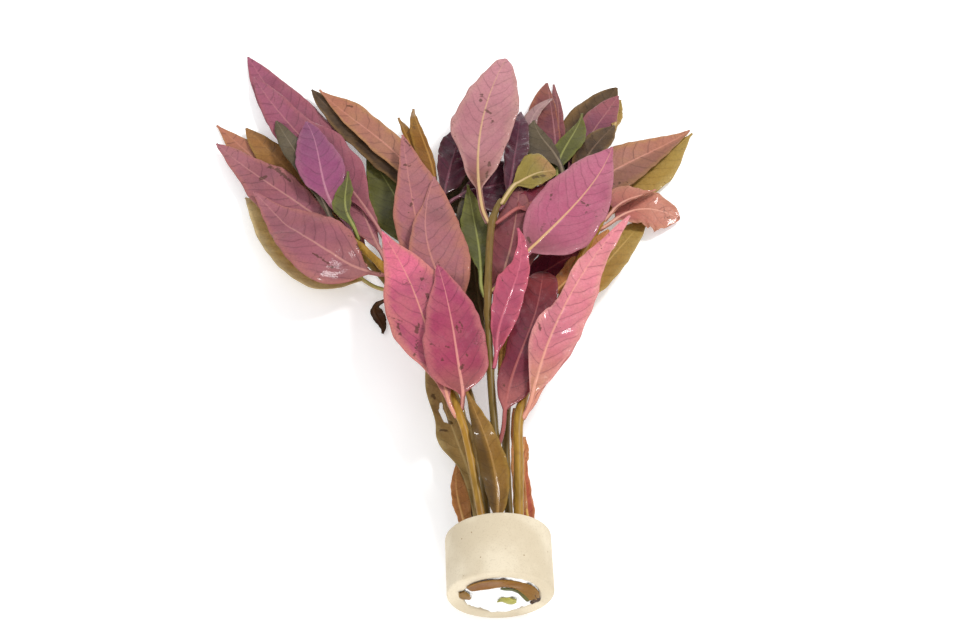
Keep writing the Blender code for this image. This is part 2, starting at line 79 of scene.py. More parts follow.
# Stems
STEM_RADII = {
    "lowest": 1.25, "right_under": 1.25, "left_under": 1.25, "left": 1.25, "right": 1.5, "middle": 1.25}
STEM_STEPS = 3
FINE_STEM_STEPS = 14

# Rows and columns of the outline that settles in the pile
LEAF_THICKNESS = 0.6
STALK_CLEARANCE = 0.5
STALK_HALF_WIDTH = 1.0
TIP_HALF_WIDTH = 0.45
MOST_STALK_PART = 0.45
STALK_ROWS = (0.0, 0.5)
BROAD_ROWS = (0.0, 0.1, 0.22, 0.36, 0.5, 0.64, 0.78, 0.9, 1.0)
NARROW_ROWS = (0.0, 0.2, 0.42, 0.64, 0.84, 1.0)
BROAD_COLUMNS = (-1.0, -0.5, 0.0, 0.5, 1.0)
NARROW_COLUMNS = (-1.0, 0.0, 1.0)
BROAD_FROM = 11.0

# How leaves settle on what is already under them
LAYER_GAP = 0.45
CELL = 1.0
FIELD_MIN = (-120.0, -130.0)
FIELD_CELLS = (230, 270)
VALLEY_DEPTH = 1.5
OWN_STEM_REACH = 4.5
SETTLING_STEPS = 40
SAMPLES_ALONG = 110
SAMPLES_ACROSS = 33
RAISED_SHARE = 0.8
CLOSE_ENOUGH = 0.01
# A strip that isn't in the frame is sunk by this much, so that it lies under the leaves over it
STRIP_SINK = 2.5
LOWEST_STRIP = 0.3

# Camera, from the ring's two rims in the photo
CAMERA_TARGET = (0.0, 0.0, 0.0)
CAMERA_DISTANCE = 672.0
CAMERA_AZIMUTH = math.radians(-2.2)
CAMERA_ELEVATION = math.radians(56)
CAMERA_LENS = 73.3
SENSOR_WIDTH = 36

# Fineness and thickness of the finished leaves
ROW_SPACING = 0.8
ROW_LIMITS = (24, 130)
FINE_FROM = 5.0
BROAD_ACROSS = 30
NARROW_ACROSS = 18
FINE_NEAR_HOLES = 3
BLADE_THICKNESS = 0.28
STALK_THICKNESS = 1.3
JOIN_LENGTH = 6.0
CORNER_SAMPLES = 241
CORNER_REACH = 12
CYCLE = 6.28

# Side veins: their spacing, and how far those left of the midrib are moved, in spacings
VEIN_SPACING = 6.0
VEIN_OFFSET = 0.37

STEMS = {
    "lowest": [(0, -106, 8), (-0.5, -92, 8), (-7, -62, 5), (-13.5, -32, 3.5),
        (-22.5, -3.5, 3.5), (-29.5, 10.5, 4.5), (-39, 23.5, 6), (-44.5, 31.5, 6.5)],
    "right_under": [(6, -106, 12.5), (6, -92, 12.5), (6, -61, 14), (7.5, -41, 13.5), (11.5, -18, 11),
        (17.5, 7, 7), (23, 23.5, 6), (29.5, 37, 11), (34.5, 50, 15)],
    "left_under": [(-1, -106, 14.5), (-1, -92, 14.5), (-2, -65.5, 19), (-3.5, -51.5, 22), (-7, -32.5, 18),
        (-11, -11.5, 13), (-13.5, 3, 11), (-15, 20.5, 9), (-15, 32, 11), (-13.5, 40.5, 14)],
    "left": [(-2.5, -106, 21), (-2.5, -92, 21), (-6, -64.5, 24), (-9, -51.5, 25), (-16.5, -24, 20),
        (-25.5, 1.5, 13), (-32.5, 15, 11.5), (-40, 24, 11.5), (-46.5, 29.5, 14)],
    "right": [(8.5, -106, 20), (8.5, -92, 20), (9.5, -69.5, 23.5), (10.5, -54, 25), (16.5, -33, 22),
        (25.5, -7, 15), (33, 13.5, 9), (39.5, 26.5, 8), (45, 35.5, 11)],
    "middle": [(2.5, -106, 18.5), (2.5, -92, 18.5), (2.5, -59.5, 22.5), (2, -40.5, 24), (2, -20.5, 24.5),
        (2.5, -4, 24.5), (4, 17, 22.5), (5.5, 27.5, 21), (8.5, 36.5, 20)],
}

# at is a control point number along the stem, or the start of a leaf whose stem is hidden. Pairs
# are left and right, or the two thirds of the midrib for bend. EDGES stands in for widest and shape.
Leaf = namedtuple("Leaf", "name tone stem at side tip bend half stalk widest shape lift",
                  defaults=[None, None, (0, 0)])

# The pile from the floor up. A bare name is the stem that lies at that level.
PILE = [
    ("dead_left", "dead", "lowest", 4.9, 1, (-33.5, -5, 1),
     (-4.5, -2), (3, 1.5), 2, (0.44, 0.44), (1.1, 1.05)),
    ("left_salmon_tip", "peach", "lowest", 5.9, 1, (-93.5, 89.5, 0.6),
     (-1, -1), (10, 7.5), 10, (0.38, 0.46), (1.1, 0.95)),
    ("left_olive", "ochre_brown", "lowest", 6.25, -1, (-82.5, 86.5, 0.6),
     (0, 0), (7.5, 6.5), 8, (0.54, 0.44), (1.1, 0.7)),
    ("left_yellow", "pale_gold", "lowest", 5.1, 1, (-82, 55.5, 0.6),
     (4, 4), (13, 9), 8, (0.26, 0.36), (0.7, 1)),
    ("left_long_under", "mauve", "lowest", 6.35, -1, (-83, 122.5, 0.6),
     (-2, -1), (8.5, 11.5), 10, (0.54, 0.42), (1.1, 0.8)),
    "lowest",
    ("orange_at_ring", "russet", None, (-6.4, -94, 15), 0, (-9.8, -61, 6), (1, 1.5), (3.5, 4), 3),
    ("dark_at_ring", "dark_olive", None, (-5.6, -97, 13), 0, (-9.2, -58, 9),
     (0, 0), (3, 3), 2, (0.5, 0.5), (0.5, 0.5)),
    ("torn_lower_left", "straw", None, (-6.5, -94, 12), 0, (-15, -13, 2.5), (-3.5, 0.5), (5.5, 6), 10),
    ("right_ochre", "gold", "right", 4.8, -1, (62.5, 43.5, 0.6),
     (1, 0.5), (6.5, 6), 6, (0.45, 0.4), (0.85, 0.9)),
    ("right_olive", "gold", "right_under", 6.1, -1, (81, 79, 0.6),
     (1.5, 0.5), (8.5, 9.5), 10, (0.52, 0.58), (1.1, 1.25)),
    ("right_curled", "coral", "right", 7.6, -1, (72.5, 39, 2),
     (5.5, 6), (7.5, 9), 5, (0.64, 0.68), (0.7, 0.7)),
    ("back_long", "umber", "right_under", 6.6, -1, (55, 102, 0.6),
     (4, 3.5), (10.5, 7.5), 8, (0.64, 0.52), (1.1, 0.7)),
    ("back_purple_under", "maroon", "right_under", 6.4, 1, (31.5, 104.5, 0.6),
     (-2, -3), (7, 2.5), 8, (0.4, 0.48), (1.1, 0.95)),
    ("right_salmon", "peach", "right_under", 6.9, -1, (80, 79.5, 2), (5, 2.5), (10.5, 9.5), 10),
    ("back_dark_long", "plum", "right_under", 7.15, -1, (55, 96.5, 2),
     (4, 3), (6, 7.5), 6, (0.74, 0.48), (1.1, 0.8)),
    ("back_purple", "rust", "right_under", 7, 1, (29, 104, 2),
     (-2, -1.5), (10, 2), 6, (0.56, 0.62), (1.2, 0.75)),
    ("back_dark", "umber", "right_under", 7.5, -1, (52, 78.5, 6),
     (3, 2.5), (5.5, 4.5), 5, (0.58, 0.7), (1.15, 0.8)),
    ("back_narrow", "dusty_pink", "right_under", 7.4, 1, (30, 90.5, 9),
     (3.5, 8.5), (3, 2), 5, (0.74, 0.74), (1.15, 0.7)),
    ("gold_strip", "gold", None, (51, 74, 4), 0, (55.8, 95.5, 2),
     (0, 0), (2, 2), 2, (0.5, 0.5), (1, 0.8)),
    ("back_rust", "leaf_green", "right_under", 7.6, 1, (40.5, 84, 8),
     (3, 1), (4, 5), 4, (0.34, 0.6), (1.1, 1.75)),
    ("back_grey", "grey_green", "right_under", 7.8, 1, (22.5, 78, 12),
     (-1.5, 0), (8.5, 2.5), 3, (0.54, 0.58), (1.8, 0.95)),
    "right_under",
    ("orange_right", "russet", None, (10.9, -67, 11), 0, (12.6, -51, 9),
     (0, 0), (1.8, 1.8), 2, (0.5, 0.5), (0.8, 0.8)),
    ("orange_bit", "russet", None, (9.8, -98, 14), 0, (9.5, -44, 9),
     (0, 0), (2.2, 2.2), 2, (0.4, 0.4), (0.4, 0.4)),
    ("red_at_ring", "ember", None, (12.4, -94, 15), 0, (13, -56.5, 8),
     (1, 1.5), (3, 2.5), 3, (0.3, 0.3), (0.6, 0.9)),
    ("right_folded", "coral", "right", 7.95, -1, (64.5, 49.5, 6),
     (3, 1.5), (7, 2.5), 4, (0.32, 0.38), (1.1, 1.5), (0, 3)),
    "right",
    ("left_bruised", "dusty_mauve", "left", 7, 1, (-93, 79, 3), (-1.5, 0), (12, 8), 8),
    ("centre_left_green", "leaf_green", "left_under", 6.8, 1, (-38.5, 73, 3),
     (-1.5, -1.5), (10.5, 10), 8, (0.36, 0.42), (0.8, 1)),
    ("grey_tip_behind", "grey_green", None, (-36.5, 82, 3), 0, (-45.5, 99.5, 2),
     (0, 0), (3, 3), 2, (0.5, 0.5), (1, 0.8)),
    ("left_olive_under", "umber", "left_under", 7.6, 1, (-58.5, 103, 2),
     (-7.5, -3.5), (5.5, 8), 8, (0.54, 0.48), (1.15, 0.75)),
    ("left_peach", "peach", "left_under", 7.9, 1, (-55.5, 101, 4),
     (-9.5, -5), (5, 6.5), 8, (0.5, 0.74), (0.75, 1.3)),
    ("orange_low", "amber", "left_under", 8.2, 1, (-26.5, 87, 5),
     (-3.5, -1.5), (1.5, 3), 5, (0.48, 0.58), (1.1, 1)),
    ("orange_high", "amber", "left_under", 8.5, 1, (-21, 91, 5),
     (-4, -1.5), (4.5, 1.5), 5, (0.44, 0.48), (1.1, 1)),
    ("dark_between", "dark_olive", None, (3, 36, 6), 0, (-12, 62, 6),
     (-2, -2), (8, 6.5), 2, (0.5, 0.5), (0.6, 0.6)),
    ("dark_left", "dark_plum", "left_under", 8.8, -1, (-5, 77.5, 10),
     (0.5, -0.5), (6, 6), 6, (0.72, 0.28), (0.8, 0.75)),
    ("dark_middle", "dark_plum", "left_under", 8.6, -1, (25.5, 56.5, 12),
     (3, 0.5), (9.5, 11.5), 8, (0.56, 0.26), (1.15, 0.7)),
    "left_under",
    ("left_behind_stalk", "dusty_mauve", "left", 6.1, -1, (-46, 56.5, 9),
     (0.5, -0.5), (6.5, 4), 5, (0.5, 0.52), (1.3, 1.05)),
    ("mauve_tip", "violet", None, (-44.5, 70, 6), 0, (-52.5, 88.5, 4),
     (1, 1), (2.5, 2.5), 2, (0.5, 0.5), (1, 0.8)),
    ("left_long_over", "mauve", "left", 5.7, -1, (-80, 109.5, 4), (-4, -1), (9.5, 11), 22),
    ("left_grey", "grey_green", "left", 8, 1, (-71, 85.5, 7),
     (-1.5, -1), (4, 4.5), 5, (0.74, 0.6), (1.1, 0.7)),
    "left",
    ("olive_between", "dark_olive", None, (2, -12, 6), 0, (-2, 47, 8),
     (1, 1), (7, 5), 2, (0.5, 0.5), (0.6, 0.6)),
    ("green_centre", "leaf_green", "middle", 4.9, 1, (-2.5, 47, 12),
     (-1.5, -1), (5.5, 5), 8, (0.46, 0.54), (1.3, 1.2)),
    ("left_inner", "violet", "left", 7.7, -1, (-60, 83, 9), (3.5, 1), (9, 8.5), 10),
    ("left_small_green", "leaf_green", "left", 7.4, -1, (-44.5, 55.5, 14),
     (3, 2), (4.5, 2.5), 2, (0.38, 0.64), (1.2, 1.55)),
    ("left_broad", "greyed_rose", "left", 5.9, 1, (-78.5, 52.5, 8), (7, 4.5), (12.5, 13), 3),
    ("centre_left_back", "rosy_mauve", "left_under", 5, -1, (-25, 71.5, 14), (4, 3), (8, 13), 8),
    ("centre_left_front", "rosy_mauve", "left_under", 4.75, -1, (-14, 49.5, 17), (5, 6), (8, 15), 5),
    ("dark_right", "dark_plum", "middle", 7.6, -1, (18, 83.5, 10),
     (-0.5, -0.5), (4, 4.5), 4, (0.54, 0.58), (1.1, 0.75)),
    ("red_between", "maroon", None, (5.5, -5, 8), 0, (15.5, 44, 8),
     (-1, -1), (7, 6), 2, (0.5, 0.5), (0.6, 0.6)),
    ("tan_under_right", "russet", None, (23, -1, 8), 0, (46, 30, 8),
     (-1, -1), (5.5, 5.5), 2, (0.5, 0.5), (0.7, 0.7)),
    ("strip_under_right", "wine", None, (6, 6, 12), 0, (41, 24, 8),
     (-0.5, -0.5), (6, 4), 2, (0.5, 0.5), (0.8, 0.8)),
    ("right_under_large", "maroon", "middle", 4.4, -1, (27.5, 49.5, 10),
     (2.5, 3), (5.5, 8.5), 7, (0.48, 0.48), (1.1, 1)),
    ("right_small_back", "wine", "middle", 6.9, -1, (28.5, 45, 15),
     (0, 0), (5.5, 8), 8, (0.44, 0.48), (1.15, 1)),
    ("orange_between", "amber", None, (5.5, -26, 8), 0, (9, -4, 10),
     (0, 0), (2, 2.5), 2, (0.5, 0.5), (0.8, 0.8)),
    ("front_mauve", "wine", "middle", 1.95, -1, (21.5, 10.5, 12), (1, -1.5), (5, 9), 8),
    "middle",
    ("olive_top", "olive_gold", "middle", 7.9, -1, (28.5, 51, 17), (4, 3), (11, 6.5), 8),
    ("right_large", "rose", "middle", 5, -1, (49, 59, 19), (-1, -3), (13.5, 14.5), 20),
    ("front_pink", "deep_rose", "middle", 3.3, -1, (13.5, 18, 28), (1, -2), (5.5, 5.5), 4),
    ("top_large", "pale_pink", "middle", 6.9, 1, (13.5, 103.5, 17), (5, 5), (10.5, 12.5), 14),
    ("front_right_under", "coral_pink", "right", 3.1, -1, (44, 16.5, 16),
     (-1, 0), (4, 4), 6, (0.44, 0.36), (1.15, 1.05)),
    ("front_right", "coral_pink", "right", 3, -1, (52, 24, 25), (5, 5.5), (5.5, 9.5), 6),
    ("front_left", "hot_pink", "left", 2.95, 1, (-32.5, 23.5, 21), (-2.5, -2.5), (12, 11), 5),
    ("front_middle", "magenta", "left", 3.05, -1, (-14, 5, 26), (-0.5, -1), (11, 11), 3),
    ("brown_at_stems", "brown", None, (1, -95, 24.5), 0, (-6, -47, 27),
     (-3.5, -3), (4.5, 4.5), 3, (0.42, 0.4), (0.8, 0.85)),
]

# Measured half widths, left and right, at each tenth of the blade from the base to the tip
EDGES = {
    "front_left": ((2.5, 5.5, 9, 11.5, 11.5, 10.5, 8, 5.5, 3, 0.5),
        (2.5, 4.5, 7.5, 9.5, 10.5, 10.5, 9, 6, 2.5, 0.5)),
    "front_middle": ((7.5, 10, 10.5, 10.5, 9.5, 8.5, 7, 5, 2.5, 0.8),
        (7, 9.5, 10, 10, 9.5, 9, 7.5, 5.5, 3, 0.8)),
    "front_right": ((3, 5.5, 6.5, 5.5, 3.5, 3.5, 4, 2.5, 1, 0.5),
        (5, 7.5, 8.5, 9, 9, 7.5, 5.5, 4, 2.5, 0.5)),
    "front_pink": ((1.5, 3, 4, 5, 6, 5.5, 3.5, 2, 1, 0.4), (3, 4.5, 5, 5, 4.5, 4, 3.5, 2.5, 1.5, 0.4)),
    "front_mauve": ((3.5, 4.5, 4.5, 5.5, 6, 6.5, 7, 6.5, 4.5, 2),
        (6, 7.5, 7.5, 7.5, 7, 6.5, 6, 5.5, 4.5, 2)),
    "right_large": ((7, 10.5, 12, 13, 13, 12, 11, 9, 5.5, 0.5),
        (10, 13, 13.5, 12.5, 11.5, 9.5, 7, 4.5, 2, 0.5)),
    "top_large": ((4, 5.5, 7.5, 10.5, 11, 9.5, 8, 6.5, 4.5, 2), (5, 8, 9.5, 10.5, 11.5, 12, 11, 9, 6, 2)),
    "centre_left_back": ((3.5, 5.5, 7, 7.5, 7.5, 6.5, 4.5, 3, 2, 0.5),
        (4, 7.5, 10.5, 12.5, 12.5, 11.5, 9.5, 6.5, 3.5, 0.5)),
    "centre_left_front": ((5, 7.5, 8, 7.5, 6.5, 5, 3.5, 1.5, 0.8, 0.5),
        (6, 10.5, 12.5, 13, 13, 12, 11, 9, 5.5, 0.5)),
    "left_broad": ((8, 12.5, 12, 10.5, 9, 7, 5.5, 4, 2, 0.5),
        (8, 11.5, 12, 12, 11.5, 10.5, 7.5, 4, 2, 0.5)),
    "left_inner": ((1.5, 3, 6, 7.5, 8.5, 8, 7.5, 6, 4, 0.6),
        (1.5, 5.5, 7.5, 8.5, 8.5, 7, 5.5, 4, 2.5, 0.6)),
    "left_long_over": ((1.5, 5, 8.5, 9.5, 9, 8, 7, 5, 3, 0.5),
        (2.5, 6.5, 10, 10.5, 11.5, 8.5, 6.5, 5.5, 4, 0.5)),
    "left_bruised": ((4, 8.5, 10.5, 11, 10, 8.5, 6, 4, 2, 0.6), (2, 4, 5.5, 7, 8, 8, 6.5, 5, 3.5, 0.6)),
    "olive_top": ((2, 3.5, 5, 6.5, 8, 8.5, 9, 9, 7.5, 3), (2.5, 4.5, 5, 5, 5, 4.5, 4.5, 3.5, 2.5, 2)),
    "torn_lower_left": ((1.5, 2, 3, 5, 6, 4.5, 4.5, 4.5, 3, 0.6),
        (1, 2.5, 4, 5.5, 6, 6, 5.5, 4.5, 3, 0.6)),
    "orange_at_ring": ((1.2, 1.6, 1.8, 2, 2, 2, 1.8, 1.4, 1, 0.5),
        (1.6, 2.4, 3, 3.5, 3.8, 3.8, 3.4, 2.6, 1.6, 0.5)),
    "right_salmon": ((4, 8, 9.5, 9.5, 9, 7.5, 6, 4, 2, 0.5),
        (4, 7.5, 8.5, 8.5, 7.5, 6, 4.5, 3, 1.5, 0.5)),
}

# Maps on each blade: (mm from its base, mm across) / 10, and (part of its length, side from -1 to 1)
VEIN_MAP = "VeinCM"
VEIN_MAP_UNIT = 10
BLADE_MAP = "Blade"

# A leaf's look: colour near the stalk, of the blade, towards the tip, along the margin and of the
# midrib, then how strong the side veins are, how much light passes through, roughness, and where
# along the blade the tip colour starts and is full
TONES = {
    "hot_pink": ("B87874 B45470 E0708C D08878 D09078", 0.45, 0.2, 0.36, (0.66, 0.78)),
    "magenta": ("985450 A43E5C A84868 BC6C6C D08C80", 0.4, 0.18, 0.36),
    "coral_pink": ("C08468 D07484 E08894 DC9890 D0907C", 0.5, 0.2, 0.3, (0.2, 0.8)),
    "deep_rose": ("842A42 A44862 C05870 C86070 B45868", 0.35, 0.2, 0.36, (0.2, 1.0)),
    "wine": ("A8605C 70283A 7A2A28 7A3238 9C5450", 0.45, 0.15, 0.3, (0.5, 1.0)),
    "maroon": ("8C5048 7C3C44 8C5458 8C5048 A87868", 0.45, 0.15, 0.36, (0.5, 1.0)),
    "rose": ("8C4C56 B45C78 BC6C84 B4707C CCA470", 0.4, 0.18, 0.36),
    "pale_pink": ("784836 B47880 C88C94 C09088 C0A070", 0.4, 0.2, 0.4, (0.55, 1.0)),
    "dusty_mauve": ("9C6868 A2606C AA6C74 B07068 B07C74", 0.6, 0.2, 0.4, (0.5, 1.0)),
    "greyed_rose": ("9C6868 A0606C AA6C74 B07068 B07C74", 0.6, 0.2, 0.62, (0.5, 1.0)),
    "rosy_mauve": ("985C58 A86870 AC7074 B87860 B4786C", 0.5, 0.2, 0.4, (0.5, 1.0)),
    "violet": ("A4606C 984C74 8E5474 A06078 B07888", 0.45, 0.2, 0.38),
    "mauve": ("8A4C50 965262 A45C74 A46068 AC7470", 0.5, 0.2, 0.4),
    "plum": ("84484C 804858 A05860 985C5C A07068", 0.5, 0.2, 0.4, (0.7, 1.0)),
    "peach": ("B07C68 B07868 B87860 BC8C5C B87C6C", 0.55, 0.25, 0.4, (0.5, 1.0)),
    "coral": ("9C5458 C07468 C88470 C89074 D8A08C", 0.35, 0.25, 0.4, (0.3, 0.8)),
    "gold": ("94702A B08840 B0944C BCA060 B09050", 0.3, 0.3, 0.4),
    "pale_gold": ("A08444 C09C58 C8AC74 D0BC90 A8A058", 0.25, 0.3, 0.4),
    "straw": ("94743C AC8C54 A08058 B8A068 A08858", 0.35, 0.3, 0.45),
    "amber": ("8A5A26 946026 946A2C A87C34 A47838", 0.3, 0.3, 0.4),
    "ember": ("B06444 C0604A D08860 D09460 DCB860", 0.35, 0.3, 0.4),
    "russet": ("BC7C48 C88850 D0905C D09858 D8A868", 0.3, 0.3, 0.4),
    "yellow_green": ("8C8C38 B0AC48 BCB858 C4BC60 C0BC68", 0.3, 0.3, 0.4),
    "leaf_green": ("50582A 5C5C34 64602E 70702E 8C8C4C", 0.35, 0.2, 0.4),
    "olive_gold": ("847030 8C7A3A A87E54 9C8844 C0A478", 0.4, 0.2, 0.4, (0.6, 1.0)),
    "grey_green": ("483C30 5C4E3E 645844 544A34 80705C", 0.4, 0.15, 0.36),
    "ochre_brown": ("4C3018 8C5C30 9C6C3C A07838 906438", 0.4, 0.2, 0.38, (0.3, 0.8)),
    "umber": ("342414 443020 54402C 84643C 705440", 0.4, 0.2, 0.38, (0.6, 1.0)),
    "dark_olive": ("4C4028 5C4E34 544A34 5C4E38 6C6040", 0.4, 0.15, 0.32),
    "dark_plum": ("441C24 4C2030 5C3444 5C3438 70404C", 0.6, 0.1, 0.2),
    "dusty_pink": ("8C6A6C A07C7E AC8888 A8887C B09488", 0.35, 0.2, 0.42),
    "rust": ("6C3038 7C4454 8C5048 A86848 9C6868", 0.4, 0.2, 0.38),
    "brown": ("7A5626 8C6426 90682C A07C34 94703C", 0.3, 0.25, 0.4),
    "dead": ("342008 40260C 38200C 2C1C0C 482C14", 0.3, 0.05, 0.5),
}

USUAL_TURN = (0.4, 1.0)

# How far margins wave and blades pucker, and half the stalk's width
USUAL_RUFFLE = 0.3
RUFFLES = {
    "front_right": 1.0, "front_pink": 0.6, "top_large": 0.7, "front_mauve": 0.5, "left_long_over": 0.5,
    "right_curled": 0.8, "torn_lower_left": 0.8, "brown_at_stems": 0.6, "dark_left": 0.6}
USUAL_PUCKER = 0.09
PUCKERS = {
    "front_right": 0.25, "dark_left": 0.3, "dark_right": 0.3, "dark_middle": 0.2, "left_inner": 0.15}
USUAL_STALK = 0.72
THICK_STALKS = {"right_large": 1.3, "olive_top": 1.05, "top_large": 1.05, "front_right": 0.9}

# Bruises and scratches as strokes over the blade: (mm from its base, mm across, the same at the
# other end, half width in mm)
BRUISES = {
    "front_left": [(34.8, 8.6, 30.2, 9.2, 0.6), (32.4, 2.5, 29.3, 3.7, 0.6), (26.1, 4.5, 20.2, 6.6, 0.5),
        (42.9, -3.9, 39.3, -3.8, 0.4), (39.3, -3.8, 41.1, -5.8, 0.3), (48.6, -4.2, 48.2, -4, 0.5),
        (38.2, 10.8, 35.2, 7.1, 0.3)],
    "front_middle": [(28.1, -2.3, 26.1, -3.3, 0.4), (26.1, -3.3, 24.1, -2.1, 0.4),
        (28.1, -1.4, 24.1, -1.2, 0.3), (14.6, 4.7, 14.3, 4.7, 0.5), (20.8, 8.8, 18.4, 1.9, 0.25),
        (12, -1.2, 9.1, -0.5, 0.4), (15.5, -2.9, 14.8, -3.1, 0.4)],
    "right_large": [(26.1, 9.8, 21.6, 7.2, 0.4), (29.4, -0.5, 28.7, -1.8, 0.6),
        (28.6, -3.9, 28.2, -5, 0.5), (12.3, 2.9, 9.5, 2.1, 0.4), (4, 3.9, 3, 1.8, 0.7)],
    "top_large": [(43.7, 2.7, 40.4, 2.2, 0.4), (36.5, -0.2, 35.5, -2.8, 0.5),
        (11.5, -3.9, 4.4, -2.7, 0.4), (33.5, -2.8, 29.2, -4.7, 0.3)],
    "left_bruised": [(46.1, -6.1, 40.4, -6.2, 0.5), (42.3, -6.6, 34.4, -5.4, 0.6),
        (43, 0.2, 42.6, -1.4, 0.8), (46.9, -7.9, 45.3, -5.4, 0.4)],
    "left_broad": [(17.2, 3.8, 13.7, 3.7, 0.4), (13.7, 3.7, 10.1, 4.7, 0.5), (6.6, -8.3, 5.3, -7.4, 0.6),
        (4.3, -7, 3.6, -6, 0.5), (11.5, -9.3, 10, -10, 0.3)],
    "centre_left_back": [(62.5, 0.6, 61.9, -0.8, 0.6), (46.1, -0.3, 42.7, 0.8, 0.4),
        (73.8, -0.3, 70.9, -2.1, 0.4)],
    "centre_left_front": [(48.4, -5.1, 46.5, -5.9, 0.4), (20.4, -1.6, 17.8, -1.6, 0.3)],
    "torn_lower_left": [(51.2, 2.8, 50.3, 2.6, 0.6), (37.6, 3.8, 36.7, 2, 0.5)],
    "front_mauve": [(9.7, 2.2, 9, 1.7, 0.4), (23.6, 2.1, 23, 1.3, 0.4)],
    "front_right": [(28.3, 5.4, 25.3, 3.8, 0.3)],
    "olive_top": [(15.7, 8.5, 15.6, 5.1, 0.7), (7.2, -1.2, 11.4, -2, 0.5)],
    "right_salmon": [(14.5, -4.1, 20.2, -7.4, 0.4)],
    "left_peach": [(58.9, -2.4, 56.1, -3.8, 0.3)],
}
# Holes right through a leaf, in the same terms
HOLES = {
    "torn_lower_left": [(47.5, 0.9, 44.9, 1.6, 0.5), (44.9, 1.6, 40.9, 1.1, 0.8),
        (40.9, 1.1, 39.3, -0.2, 0.6)],
}
# Leaves folded so that one side lies in shade: which side, and how dark
FOLDS = {
    "brown_at_stems": (1, 0.7), "right_folded": (-1, 0.35), "right_salmon": (-1, 0.4),
    "left_olive": (-1, 0.3)}

# Scraps of leaf caught in the wool's open end: name, tone, slot, (x, z) along the scrap, half width
SCRAPS = [
    ("scrap_brown_arc", "amber", "leaf_brown",
     [(-7.6, 22.2), (-4, 24.6), (0.4, 25.6), (4.8, 24.6), (8.6, 21.8), (11, 18), (12, 14)], 2.6),
    ("scrap_green_edge", "leaf_green", "leaf_olive",
     [(2, 22.6), (5.8, 20.6), (8.8, 16.8), (10.4, 13.2)], 0.7),
    ("scrap_green", "yellow_green", "leaf_olive", [(1.4, 14.6), (4, 13.4), (6.8, 13.4)], 1.9),
    ("scrap_brown_left", "brown", "leaf_brown", [(-10, 20.6), (-9, 17.8), (-7.6, 15.6)], 1.5),
    ("scrap_brown_right", "dead", "leaf_brown", [(12.4, 17.2), (12.9, 14), (11.6, 11)], 1.1),
]
SCRAP_COLUMNS = 9

# Area lights: name, place, width, power and the point it faces, in metres and watts
LIGHTS = [
    ("key", (0.7, 0.45, 1.2), 0.28, 13, (0.0, 0.0, 0.01)),
    ("fill", (-1.2, -0.6, 1.2), 1.6, 5, (0.0, 0.0, 0.01)),
    ("front", (-0.1, -1.3, 0.4), 0.9, 7, (0.0, -0.1, 0.01)),
]
SKY_STRENGTH = 0.75
FLOOR_GLOW = 0.3
FLOOR_HALF_SIZE = 3.0

# The frame's ring tells where the bunch's own frame lies in the world
RING_LOW, RING_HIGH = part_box("ceramic_ring")
SHIFT = np.array([(RING_LOW.x + RING_HIGH.x) / 2 - RING_CENTRE[0] * MM, RING_LOW.y - RING_END_Y * MM, 0])


def smooth_line(points, steps):
    """Points on a smooth curve through the control points."""
    points = np.array(points, float)
    ends = (2 * points[0] - points[1], 2 * points[-1] - points[-2])
    padded = np.vstack([ends[0], points, ends[1]])
    line = []
    for i in range(1, len(padded) - 2):
        before, here, there, after = padded[i - 1:i + 3]
        for k in range(steps):
            t = k / steps
            line.append(0.5 * (2 * here + (there - before) * t
                               + (2 * before - 5 * here + 4 * there - after) * t ** 2
                               + (3 * here - before - 3 * there + after) * t ** 3))
    line.append(points[-1])
    return np.array(line)


STEM_LINES = {name: smooth_line(points, STEM_STEPS) for name, points in STEMS.items()}


def run_lengths(line):
    """The distance along a line of points from its start."""
    return np.concatenate([[0], np.cumsum(np.linalg.norm(np.diff(line, axis=0), axis=1))])


def on_stem(stem, at):
    """Position and direction at a control point number along a stem."""
    line = STEM_LINES[stem]
    step = min(int(at * STEM_STEPS), len(line) - 2)
    part = at * STEM_STEPS - step
    along = line[step + 1] - line[step]
    return line[step] + along * part, along / np.linalg.norm(along)


def leaf_start(leaf):
    """Where the stalk leaves the side of its stem."""
    if leaf.stem is None:
        return np.array(leaf.at, float)
    start, along = on_stem(leaf.stem, leaf.at)
    flat = along[:2] / np.linalg.norm(along[:2])
    sideways = leaf.side * np.array([-flat[1], flat[0]])
    start[:2] += sideways * (STEM_RADII[leaf.stem] + STALK_CLEARANCE + STALK_HALF_WIDTH)
    return start


def blade_width(part, widest, shape):
    """Half width, from 0 to 1, at a part of the blade's length."""
    opening = np.sin(math.pi / 2 * np.clip(part / widest, 0, 1)) ** shape[0]
    closing = np.cos(math.pi / 2 * np.clip((part - widest) / (1 - widest), 0, 1)) ** shape[1]
    return np.where(part < widest, opening, closing)


def half_width(leaf, i, part):
    """Half width at a part of the blade, measured where it is listed."""
    if leaf.name not in EDGES:
        return leaf.half[i] * blade_width(part, leaf.widest[i], leaf.shape)
    widths = (STALK_HALF_WIDTH, *EDGES[leaf.name][i])
    line = smooth_line([(k / 10, wide) for k, wide in enumerate(widths)], 6)
    round_tip = np.sqrt(np.clip((1 - part) / 0.03, 0, 1))
    return np.interp(part, line[:, 0], line[:, 1]) * round_tip


def sideways_bend(t, bend):
    """Offset of the midrib that is 0 at both ends and takes the given values at the thirds."""
    return t * (1 - t) * (9 * bend[0] - 4.5 * bend[1] + 13.5 * (bend[1] - bend[0]) * t)


